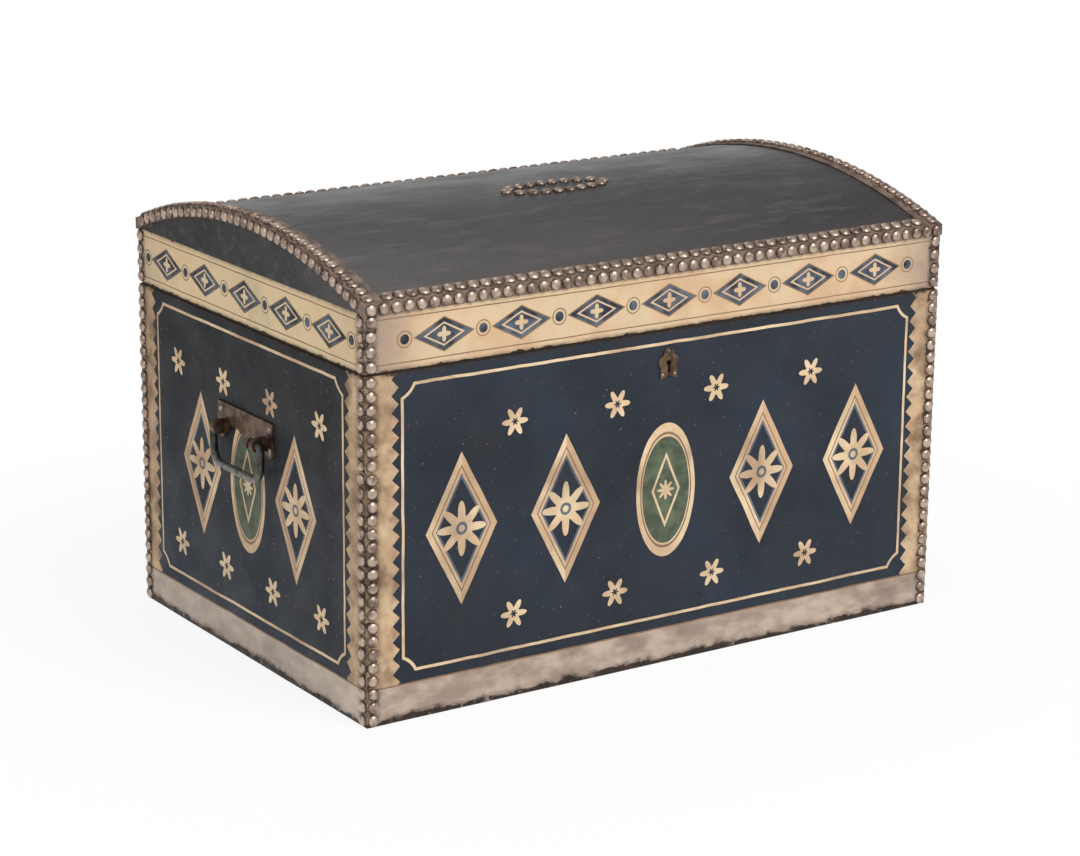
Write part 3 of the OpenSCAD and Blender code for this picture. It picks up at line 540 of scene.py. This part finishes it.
# %% [markdown]
# ### Metals
#
# Nails were stamped from brass and have tarnished: brown in the hollows, paler on top. The hollows
# could be found by a node for every render, but each nail head carries a value instead, "rub",
# which grows from its rim to its top. The lock, hinges and bails are forged iron. The handle
# plates and the escutcheon are iron that was browned, and the rod of a bail is pale where hands
# hold it.

# %% Metals
HELD_FROM, HELD_TO = 0.185, 0.173     # the heights, in metres, between which a bail's grip begins


def tarnished_brass():
    """Stamped brass: tarnish is rough and brown, and the rubbed top stays bright."""
    made, tree = new_tree("tarnished_stamped_brass")
    place = add(tree, "TexCoord").outputs["Object"]
    shade = clouds(tree, place, 9, detail=3.0)
    colour = veiled(tree, linear("#7b675b"), linear("#c6b09f"), shade, 0.3, 0.65)
    rub = add(tree, "Attribute", attribute_name="rub").outputs["Fac"]
    rub = add(tree, "Math", clouds(tree, place, 3), 0.5, rub, operation="MULTIPLY_ADD")
    colour = veiled(tree, linear("#3f3028"), colour, rub, 0.3, 0.95, 0.1, 1.0)
    rough = add(tree, "MapRange", clouds(tree, place, 3), 0.3, 0.7, 0.33, 0.5, **SMOOTH)
    surface(tree, colour, rough, clouds(tree, place, 1.5), 0.0001, Metallic=0.85)
    return made


def forged_iron(name, dark, pale, rust, grip=0.0):
    """Forged iron: blotched scale, a dull gloss, rust in patches and, on a bail, a rubbed grip."""
    made, tree = new_tree(name)
    place = add(tree, "TexCoord").outputs["Object"]
    colour = mottled(tree, place, linear(dark), linear(pale), 8)
    colour = veiled(tree, colour, linear(rust), clouds(tree, place, 5), 0.56, 0.7, 0.0, 0.7)
    height = add(tree, "SeparateXYZ", place).outputs["Z"]
    held = add(tree, "MapRange", height, HELD_FROM, HELD_TO, 0.0, grip, **SMOOTH)
    patch = clouds(tree, place, 3, detail=5.0)
    patch = add(tree, "MapRange", patch, 0.3, 0.65, **SMOOTH)
    held = add(tree, "Math", held, patch, operation="MULTIPLY")
    colour = add(tree, "MixRGB", held, colour, linear("#97948b"))
    rough = add(tree, "MapRange", clouds(tree, place, 4), 0.3, 0.7, 0.3, 0.52, **SMOOTH)
    surface(tree, colour, rough, clouds(tree, place, 2.5, detail=6.0), 0.0002, Metallic=0.8)
    return made


brass = tarnished_brass()
iron = forged_iron("forged_iron", "#2c2e33", "#5f6369", "#54402f")
gripped_iron = forged_iron("gripped_forged_iron", "#2a2a2b", "#5b5a58", "#54402f", grip=0.8)
browned_iron = forged_iron("browned_iron", "#3a2d24", "#735c4a", "#8a6546")
rubbed_iron = forged_iron("rubbed_iron", "#6b5b4e", "#b3a08d", "#7c5b3f")
print(brass.name, iron.name, gripped_iron.name, browned_iron.name, rubbed_iron.name, sep=", ")

# %% [markdown]
# ### Wood
#
# The box under the leather is planed pine. Growth rings show on a board as lines that run along
# it, so the rings are a noise that is drawn out along the board. Each board carries its number,
# "board", which shifts the noise and darkens the tone, because no two boards come from the same
# place in a tree. Painted shade darkens the joints, where one node finds how closed in a place is,
# and the boards' edges next to the seam between box and lid.

# %% Wood
FIGURE_SHIFT = (0.2, 0.47, 0.31)
TONE_STEP = 0.37
JOINT_REACH = 6 * MM
SEAM = 300 * MM


def old_pine(name, turn):
    """Planed pine, browned by age, with another figure and another tone in each board."""
    made, tree = new_tree(name)
    place = add(tree, "TexCoord").outputs["Object"]
    turned_place = add(tree, "Mapping", place, sockets={"Rotation": turn})
    number = add(tree, "Attribute", attribute_name="board").outputs["Fac"]
    shift = add(tree, "VectorMath", FIGURE_SHIFT, sockets={"Scale": number}, operation="SCALE")
    moved = add(tree, "VectorMath", turned_place, shift, operation="ADD")
    drawn = add(tree, "Mapping", moved, sockets={"Scale": (0.06, 1, 1)})
    warp = add(tree, "TexNoise", sockets={"Vector": drawn, "Scale": 9.0, "Detail": 3.0})
    rings = add(tree, "Math", warp, 26.0, operation="MULTIPLY")
    line = add(tree, "Math", rings, operation="FRACT")
    colour = veiled(tree, linear("#a17849"), linear("#b98f5e"), line, 0.0, 0.9)
    fibre = add(tree, "TexNoise", sockets={"Vector": drawn, "Scale": 420.0, "Detail": 4.0})
    colour = veiled(tree, colour, linear("#86623d"), fibre, 0.45, 0.75, 0.0, 0.6)
    tone = add(tree, "Math", number, TONE_STEP, operation="MULTIPLY")
    tone = add(tree, "Math", tone, operation="FRACT")
    tone = add(tree, "Math", tone, 0.5, operation="MULTIPLY")
    colour = add(tree, "MixRGB", tone, colour, linear("#8a6339"))
    stain = clouds(tree, place, 130, detail=6.0)
    colour = veiled(tree, colour, linear("#6d4e31"), stain, 0.45, 0.75, 0.0, 0.55)
    # Painted shade: the wood darkens where it is closed in, in joints and corners
    air = add(tree, "AmbientOcclusion", sockets={"Distance": JOINT_REACH}, samples=8).outputs["AO"]
    colour = veiled(tree, colour, linear("#3b291b"), air, 0.35, 0.75, 0.75, 0.0)
    # Painted shade: the boards darken next to the seam between box and lid, as in the gap's shade
    height = add(tree, "SeparateXYZ", place).outputs["Z"]
    at_seam = add(tree, "Math", height, SEAM, 6 * MM, operation="COMPARE")
    at_seam = add(tree, "Math", at_seam, 0.85, operation="MULTIPLY")
    colour = add(tree, "MixRGB", at_seam, colour, HIDE_DARK)
    surface(tree, colour, 0.62, fibre, 0.00015)
    return made


pine_along = old_pine("planed_pine_along", (0, 0, 0))
pine_across = old_pine("planed_pine_across", (0, 0, math.radians(90)))
print("materials:", len(bpy.data.materials))

# %% [markdown]
# The CAD pieces that keep their shape only need a finish. A node is dressed by putting the
# material in its object's first slot.

# %% Finishes of the CAD pieces
WEARS = {
    iron: ["lock_case", "lock_spring", "hinge_pins", "lock_bolt"],
    gripped_iron: ["left_bail", "right_bail"],
    rubbed_iron: ["escutcheon_pins", "left_handle_rivets", "right_handle_rivets"],
}
for finish, nodes in WEARS.items():
    for name in nodes:
        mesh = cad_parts[name].data
        mesh.materials.clear()
        mesh.materials.append(finish)
    print(f"{finish.name}: {', '.join(nodes)}")


# %% [markdown]
# ## Making the skins
#
# A hide is a flat sheet with a thickness, soft edges and a slight swell where the glue let go. It
# could be a box with a bevel, but a fine grid that is thickened, bevelled and displaced keeps the
# swell. Every skin is finished by the same function.

# %% Helpers for modelling
def alone(piece):
    """Selects one piece and nothing else, because an operator acts on all that is selected."""
    bpy.ops.object.select_all(action="DESELECT")
    piece.select_set(True)
    bpy.context.view_layer.objects.active = piece


def added(name):
    """The piece that an operator has just added, under its own name."""
    piece = bpy.context.active_object
    piece.name = name
    piece.data.name = name
    return piece


def choose(piece, test):
    """Selects the vertices of a piece in edit mode whose place passes a test."""
    bpy.ops.mesh.select_mode(type="VERT")
    bpy.ops.mesh.select_all(action="DESELECT")
    mesh = bmesh.from_edit_mesh(piece.data)
    for vertex in mesh.verts:
        if test(vertex.co):
            vertex.select = True
    mesh.select_flush_mode()
    bmesh.update_edit_mesh(piece.data)


def apply_all(piece):
    """Applies every modifier of a piece, in order."""
    alone(piece)
    for name in [m.name for m in piece.modifiers]:
        bpy.ops.object.modifier_apply(modifier=name)


SMOOTH_BELOW = math.radians(40)     # edges with a smaller turn than this are shaded smooth
WELD = 0.01 * MM                    # points that are closer than this become one
SWELL = bpy.data.textures.new("swell", "CLOUDS")
SWELL.noise_scale = 90 * MM
SWELL.noise_depth = 1


def soften(piece, thickness, bevel, swell):
    """Gives a piece soft edges and, where they aren't 0, a thickness and a slight swell."""
    if thickness:
        solid = piece.modifiers.new("thickness", "SOLIDIFY")
        solid.thickness = thickness
        solid.offset = -1
    edge = piece.modifiers.new("edge", "BEVEL")
    edge.width = bevel
    edge.segments = 2
    edge.limit_method = "ANGLE"
    edge.angle_limit = math.radians(50)
    if swell:
        bump = piece.modifiers.new("swell", "DISPLACE")
        bump.texture = SWELL
        bump.strength = swell
        bump.mid_level = 0.5
    apply_all(piece)
    bpy.ops.object.shade_smooth_by_angle(angle=SMOOTH_BELOW)


def dress(piece, finish, body, slot, *nodes):
    """The last steps for every piece: its finish, its body and what it stands for. The slot is not
    used.
    """
    piece.data.materials.clear()
    piece.data.materials.append(finish)
    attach(piece, body)
    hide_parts(*nodes)
    print(piece.name, len(piece.data.polygons), "faces")


# %% [markdown]
# Each flat hide is one grid on the outer face of its CAD skin, thickened inwards, so the surface
# stays where the CAD has it. The keyhole is cut through the front hide with a small block, which
# leaves clean edges in any grid.

# %% Flat hides of the body and the lid
CELL = 7 * MM
HIDE_BEVEL, HIDE_SWELL = 0.7 * MM, 0.4 * MM
KEYHOLE = ((-2, -4, -8), (2, 6, 2))     # two corners in mm, from the middle of the escutcheon
# How a grid is turned to face a side, and the way that side looks
FACES = {
    "front": ((math.radians(90), 0, 0), Vector((0, -1, 0))),
    "back": ((math.radians(90), 0, math.radians(180)), Vector((0, 1, 0))),
    "left": ((math.radians(90), 0, math.radians(-90)), Vector((-1, 0, 0))),
    "right": ((math.radians(90), 0, math.radians(90)), Vector((1, 0, 0))),
}


def flat_hide(name, side, node):
    """A grid on the outer face of a CAD skin, thickened inwards."""
    low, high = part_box(node)
    turn, outward = FACES[side]
    middle = (low + high) / 2
    size = high - low
    width = size.y if outward.x else size.x
    reach = size.x if outward.x else size.y
    bpy.ops.object.select_all(action="DESELECT")
    bpy.ops.mesh.primitive_grid_add(
        x_subdivisions=round(width / CELL), y_subdivisions=max(3, round(size.z / CELL)),
        size=1, location=middle + outward * reach / 2, rotation=turn,
    )
    piece = added(name)
    piece.scale = (width, size.z, 1)
    bpy.ops.object.transform_apply(location=True, rotation=True, scale=True)
    soften(piece, reach, HIDE_BEVEL, HIDE_SWELL)
    return piece


def cut(piece, cutter):
    """Takes the shape of one piece out of another, and removes the cutter."""
    hole = piece.modifiers.new("hole", "BOOLEAN")
    hole.object = cutter
    hole.solver = "EXACT"
    apply_all(piece)
    bpy.data.objects.remove(cutter)


def cutter_box(low, high):
    """A block between two corners, to cut with."""
    bpy.ops.object.select_all(action="DESELECT")
    bpy.ops.mesh.primitive_cube_add(size=1, location=(low + high) / 2)
    block = added("cutter")
    block.scale = high - low
    bpy.ops.object.transform_apply(location=True, rotation=True, scale=True)
    return block


body_hides = {}
for side in FACES:
    body_hides[side] = flat_hide(f"{side}_hide", side, f"{side}_leather")
key_low, key_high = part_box("escutcheon")
key_place = Vector((0, -half_depth, (key_low.z + key_high.z) / 2))
cut(body_hides["front"], cutter_box(*(key_place + Vector(corner) * MM for corner in KEYHOLE)))
for side, piece in body_hides.items():
    finish = painted_long if side in ("front", "back") else painted_end
    dress(piece, finish, "box", "painted_leather", f"{side}_leather")

for side in FACES:
    piece = flat_hide(f"lid_{side}_band", side, f"lid_{side}_leather")
    finish = band_long if side in ("front", "back") else band_end
    dress(piece, finish, "lid", "band_leather", f"lid_{side}_leather")


# %% [markdown]
# The dome is turned, as on a lathe: one edge along the crown is spun about the arch's centre line.
# That gives an even sheet whose rows follow the arch, which a bent grid would not.

# %% Skins that follow the arch
def arched_sheet(name, x_from, x_to, radius, half_angle, cells, steps):
    """Spins one edge along X about the arch's centre line, from the front to the back."""
    bpy.ops.object.select_all(action="DESELECT")
    bpy.ops.mesh.primitive_plane_add(size=1, location=(0, 0, 0))
    piece = added(name)
    piece.scale = (x_to - x_from, 1, 1)
    piece.location = ((x_from + x_to) / 2, 0.5, arch_centre + radius)
    bpy.ops.object.transform_apply(location=True, rotation=True, scale=True)
    bpy.ops.object.mode_set(mode="EDIT")
    choose(piece, lambda p: p.y > 0.5)
    bpy.ops.mesh.delete(type="VERT")
    bpy.ops.mesh.select_all(action="SELECT")
    bpy.ops.mesh.subdivide(number_cuts=cells - 1)
    bpy.ops.object.mode_set(mode="OBJECT")
    piece.data.transform(
        Matrix.Translation((0, 0, arch_centre))
        @ Matrix.Rotation(half_angle, 4, "X")
        @ Matrix.Translation((0, 0, -arch_centre))
    )
    bpy.ops.object.mode_set(mode="EDIT")
    bpy.ops.mesh.select_all(action="SELECT")
    bpy.ops.mesh.spin(steps=steps, angle=2 * half_angle, center=(0, 0, arch_centre), axis=(1, 0, 0))
    bpy.ops.mesh.select_all(action="SELECT")
    bpy.ops.mesh.remove_doubles(threshold=WELD)
    bpy.ops.mesh.normals_make_consistent(inside=False)
    if bmesh.from_edit_mesh(piece.data).faces[0].normal.z < 0:
        bpy.ops.mesh.flip_normals()
    bpy.ops.object.mode_set(mode="OBJECT")
    return piece


edge_angle = math.asin(half_depth / arch_r)
dome = arched_sheet("dome_hide", -half_length, half_length, arch_r, edge_angle, cells=86, steps=58)
soften(dome, hide_t, bevel=0.6 * MM, swell=0.8 * MM)
print(f"dome: highest point {max(v.co.z for v in dome.data.vertices):.4f} m, crown {crown:.4f} m")
dress(dome, dark_hide, "lid", "dome_leather", "dome_leather")

# %% [markdown]
# The CAD pieces have edges as sharp as knives, and nothing real has. Where an edge shows, a copy of
# the piece takes its place: its loose triangles are merged into whole faces, and a small bevel
# rounds the edges, as a file, a fold or years of wear does. The light then runs along each edge.

# %% Pieces with rounded edges
def merged_copy(node, name):
    """A copy of a CAD piece with its triangles merged into whole faces."""
    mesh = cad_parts[node].data.copy()
    piece = bpy.data.objects.new(name, mesh)
    mesh.name = name
    bpy.context.scene.collection.objects.link(piece)
    alone(piece)
    bpy.ops.object.mode_set(mode="EDIT")
    bpy.ops.mesh.select_all(action="SELECT")
    bpy.ops.mesh.remove_doubles(threshold=WELD)
    bpy.ops.mesh.dissolve_limited(angle_limit=math.radians(0.5))
    bpy.ops.object.mode_set(mode="OBJECT")
    return piece


# The finish, the body, the slot, the width of the bevel in millimetres, and the nodes
EASED = [
    (dull_shaded_hide, "lid", "dome_leather", 0.5, ["left_arch_leather", "right_arch_leather"]),
    (binding_hide, "lid", "binding_leather", 0.45, [f"{side}_binding" for side in FACES]),
    (browned_iron, "box", "bronzed_iron", 0.35,
     ["left_handle_plate", "right_handle_plate", "escutcheon"]),
    (iron, "box", "iron", 0.3, ["lock_plate", "left_hinge_body_leaf", "right_hinge_body_leaf"]),
    (iron, "lid", "iron", 0.3, ["link_plate", "left_hinge_lid_leaf", "right_hinge_lid_leaf"]),
    (pine_along, "box", "pine", 0.8, ["front_board", "back_board", "bottom_board"]),
    (pine_across, "box", "pine", 0.8, ["left_end_board", "right_end_board"]),
    (pine_along, "lid", "pine", 0.8, ["lid_front_rail", "lid_back_rail"]),
    (pine_across, "lid", "pine", 0.8, ["lid_left_end", "lid_right_end"]),
    (pine_along, "lid", "pine", 1.0, [f"stave_{i}" for i in range(1, 6)]),
]
for finish, body, slot, width, nodes in EASED:
    for number, node in enumerate(nodes):
        piece = merged_copy(node, f"{node}_eased")
        soften(piece, 0, width * MM, 0)
        level = piece.modifiers.new("level", "WEIGHTED_NORMAL")
        level.keep_sharp = True
        apply_all(piece)
        if slot == "pine":
            board = piece.data.attributes.new("board", "FLOAT", "POINT")
            for value in board.data:
                value.value = number
        dress(piece, finish, body, slot, node)


# %% [markdown]
# ## The screws
#
# Hand-made screws of that time have domed heads with one narrow slot, and the slots never line up.
# The CAD leaves the slots out, so each head gets one here: thin blocks, turned by chance, are cut
# out of a merged copy of the screws.

# %% Slotted screws
def islands(mesh):
    """The points of each loose part of a mesh, found by walking along its edges."""
    seen, parts = set(), []
    for first in mesh.verts:
        if first in seen:
            continue
        part, waiting = [], [first]
        seen.add(first)
        while waiting:
            vertex = waiting.pop()
            part.append(vertex.co.copy())
            for edge in vertex.link_edges:
                other = edge.other_vert(vertex)
                if other not in seen:
                    seen.add(other)
                    waiting.append(other)
        parts.append(part)
    return parts


def corners(points):
    """The lowest and the highest corner of some points."""
    low = Vector(min(p[i] for p in points) for i in range(3))
    high = Vector(max(p[i] for p in points) for i in range(3))
    return low, high


SLOT_W, SLOT_DEEP, SLOT_LONG = 0.8 * MM, 0.8 * MM, 8 * MM


def slot_block(points):
    """A thin block across the top of one screw's head."""
    low, high = corners(points)
    middle, size = (low + high) / 2, high - low
    axis = max(range(3), key=lambda i: size[i])

    def from_axis(point):
        away = point - middle
        away[axis] = 0
        return away.length

    # The widest point is on the head, which tells the head's end from the tip
    out = math.copysign(1, max(points, key=from_axis)[axis] - middle[axis])
    bpy.ops.object.select_all(action="DESELECT")
    bpy.ops.mesh.primitive_cube_add(size=1)
    block = added("slot")
    turn = Matrix.Rotation(random.uniform(0, math.pi), 4, "Z")
    normal = Vector([out if i == axis else 0 for i in range(3)])
    stand = normal.to_track_quat("Z", "Y").to_matrix().to_4x4()
    top = Vector(middle)
    top[axis] = high[axis] if out > 0 else low[axis]
    shape = Matrix.Diagonal((SLOT_LONG, SLOT_W, 2 * SLOT_DEEP, 1))
    block.data.transform(Matrix.Translation(top) @ stand @ turn @ shape)
    return block


random.seed(3)
for node, body in (("body_screws", "box"), ("lid_screws", "lid")):
    screws = merged_copy(node, f"{node}_slotted")
    loose = bmesh.new()
    loose.from_mesh(screws.data)
    blocks = [slot_block(points) for points in islands(loose)]
    loose.free()
    alone(blocks[0])
    for block in blocks:
        block.select_set(True)
    bpy.ops.object.join()
    cut(screws, blocks[0])
    alone(screws)
    bpy.ops.object.shade_smooth_by_angle(angle=SMOOTH_BELOW)
    dress(screws, iron, body, "iron", node)
    print(len(blocks), "slots cut in", node)


# %% [markdown]
# ## The nails
#
# Each head is a shallow dome. The CAD holds one in every place, at its true size, so the places
# are read from there: every loose island of a nail node is one head. A head that is thin from
# side to side looks along X, one that is thin from front to back looks along Y, and any other
# looks away from the centre line of the arch.

# %% Where the nails are
def nail_places(node):
    """The middle of each head's foot, its outward axis, its radius and its height."""
    mesh = bmesh.new()
    mesh.from_mesh(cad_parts[node].data)
    bmesh.ops.remove_doubles(mesh, verts=mesh.verts, dist=WELD)
    places = [head_frame(points) for points in islands(mesh)]
    mesh.free()
    return places


THIN = 0.6          # a head is thin where it is less than this share of its width
UPRIGHT = 0.95      # a head on the front or the back is at least this share as high as wide


def head_frame(points):
    """The foot, axis, radius and height of one head, from its points."""
    low, high = corners(points)
    middle, size = (low + high) / 2, high - low
    if size.x < THIN * size.y:
        axis = Vector((math.copysign(1, middle.x), 0, 0))
    elif size.y < THIN * size.x and size.z > UPRIGHT * size.x:
        axis = Vector((0, math.copysign(1, middle.y), 0))
    else:
        axis = Vector((0, middle.y, middle.z - arch_centre)).normalized()
    along = [p.dot(axis) for p in points]
    foot = middle + axis * (min(along) - middle.dot(axis))
    radius = max((p - foot - axis * (p - foot).dot(axis)).length for p in points)
    return foot, axis, radius, max(along) - min(along)


# %% [markdown]
# One head with few faces is modelled once and copied to every place, with a little tilt and a
# slightly different height, because no two were driven alike. Its value "rub" grows from the rim
# to the top, and the brass is paler where it is high. The heads of a row are joined into one
# piece, since hundreds of loose objects would be slow to handle.

# %% Driving the nails
HEAD_CUT = 0.02     # where the ball is cut, as a share of its radius
TILT = 0.06         # how far a head leans at most, as a share of its axis


def nail_head():
    """One head of radius 1: the upper half of a ball with few faces."""
    bpy.ops.object.select_all(action="DESELECT")
    bpy.ops.mesh.primitive_uv_sphere_add(segments=12, ring_count=10, radius=1)
    piece = added("nail_head")
    bpy.ops.object.mode_set(mode="EDIT")
    bpy.ops.mesh.select_all(action="SELECT")
    bpy.ops.mesh.bisect(
        plane_co=(0, 0, HEAD_CUT), plane_no=(0, 0, 1), use_fill=True, clear_inner=True)
    bpy.ops.mesh.select_all(action="SELECT")
    bpy.ops.transform.translate(value=(0, 0, -HEAD_CUT))
    bpy.ops.object.mode_set(mode="OBJECT")
    bpy.ops.object.shade_smooth_by_angle(angle=math.radians(60))
    rub = piece.data.attributes.new("rub", "FLOAT", "POINT")
    for vertex, value in zip(piece.data.vertices, rub.data):
        value.value = vertex.co.z
    return piece


random.seed(7)
head = nail_head()
NAILS = {
    "box": ["body_front_nails", "body_back_nails", "body_left_nails", "body_right_nails"],
    "lid": ["lid_front_nails", "lid_back_nails", "lid_left_nails", "lid_right_nails", "oval_nails"],
}
driven = 0
for body, nodes in NAILS.items():
    for node in nodes:
        copies = []
        for foot, axis, radius, height in nail_places(node):
            copy = head.copy()
            copy.data = head.data.copy()
            tilt = axis + Vector([random.uniform(-TILT, TILT) for _ in range(3)])
            turn = tilt.to_track_quat("Z", "Y").to_matrix().to_4x4()
            size = Matrix.Diagonal((radius, radius, height * random.uniform(0.94, 1.06), 1))
            copy.data.transform(Matrix.Translation(foot) @ turn @ size)
            bpy.context.scene.collection.objects.link(copy)
            copies.append(copy)
        driven += len(copies)
        alone(copies[0])
        for copy in copies:
            copy.select_set(True)
        bpy.ops.object.join()
        dress(added(node.replace("_nails", "_nail_heads")), brass, body, "nail_brass", node)
bpy.data.objects.remove(head)
print(driven, "nails driven")

# %% [markdown]
# ## Floor and light
#
# A studio picture has a pale floor without an edge. This one gives a light of its own where the
# camera looks at it, which makes it white, and less of it near the box, so that the shadow stays.
# The box mirrors that light too, and there it fades with the distance, so that the upper parts
# of the box stay dark.

# %% Floor
bpy.ops.object.select_all(action="DESELECT")
bpy.ops.mesh.primitive_plane_add(size=30, location=(0, 0, 0))
floor = added("floor")
floor_finish, floor_tree = new_tree("pale_floor")
ray = add(floor_tree, "LightPath")
floor_place = add(floor_tree, "TexCoord").outputs["Object"]
away = add(floor_tree, "VectorMath", floor_place, operation="LENGTH").outputs["Value"]
white = add(floor_tree, "MapRange", away, 0.3, 0.8, 0.89, 1.0, **SMOOTH)
mirrored = add(floor_tree, "MapRange", away, 0.4, 1.3, 0.95, 0.25, **SMOOTH)
white = add(floor_tree, "Math", white, ray.outputs["Is Camera Ray"], operation="MULTIPLY")
mirrored = add(floor_tree, "Math", mirrored, ray.outputs["Is Glossy Ray"], operation="MULTIPLY")
share = add(floor_tree, "Math", white, mirrored, operation="MAXIMUM")
matt = add(floor_tree, "BsdfDiffuse", linear("#f4f4f4"))
glow = add(floor_tree, "Emission", (1, 1, 1, 1), 1.0)
add(floor_tree, "OutputMaterial", add(floor_tree, "MixShader", share, matt, glow))
floor.data.materials.append(floor_finish)
print(floor.name, "wears", floor_finish.name)

# %% [markdown]
# One large soft lamp stands above and in front of the box, a weaker one at its left, and the
# weakest above and behind it, where it gives the dome a soft sheen. The world lights the box like
# a room whose walls are bright near the floor and dim above, and the camera sees it as white.

# %% Lamps and world
BOX_MIDDLE = Vector((0, 0, 0.18))


def lamp(name, place, size, power):
    """A soft square lamp that looks at the middle of the box."""
    data = bpy.data.lights.new(name, "AREA")
    data.size = size
    data.energy = power
    made = bpy.data.objects.new(name, data)
    made.location = place
    aim = BOX_MIDDLE - Vector(place)
    made.rotation_euler = aim.to_track_quat("-Z", "Y").to_euler()
    bpy.context.scene.collection.objects.link(made)
    print(name, "of", power, "W")


lamp("key_lamp", (0.6, -2.6, 2.6), 1.6, 92)
lamp("left_lamp", (-3.0, -0.8, 1.8), 1.4, 27)
lamp("top_lamp", (0.4, 1.6, 2.8), 1.6, 12)
world = bpy.data.worlds.new("studio")
bpy.context.scene.world = world
world.use_nodes = True
studio = world.node_tree
studio.nodes.clear()
upward = add(studio, "SeparateXYZ", add(studio, "TexCoord").outputs["Generated"]).outputs["Z"]
walls = add(studio, "MapRange", upward, 0.02, 0.45, 0.9, 0.28, **SMOOTH)
seen = add(studio, "LightPath").outputs["Is Camera Ray"]
level = add(studio, "Math", walls, seen, operation="MAXIMUM")
add(studio, "OutputWorld", add(studio, "Background", (1, 1, 1, 1), level))
bpy.context.scene.view_settings.view_transform = "Standard"
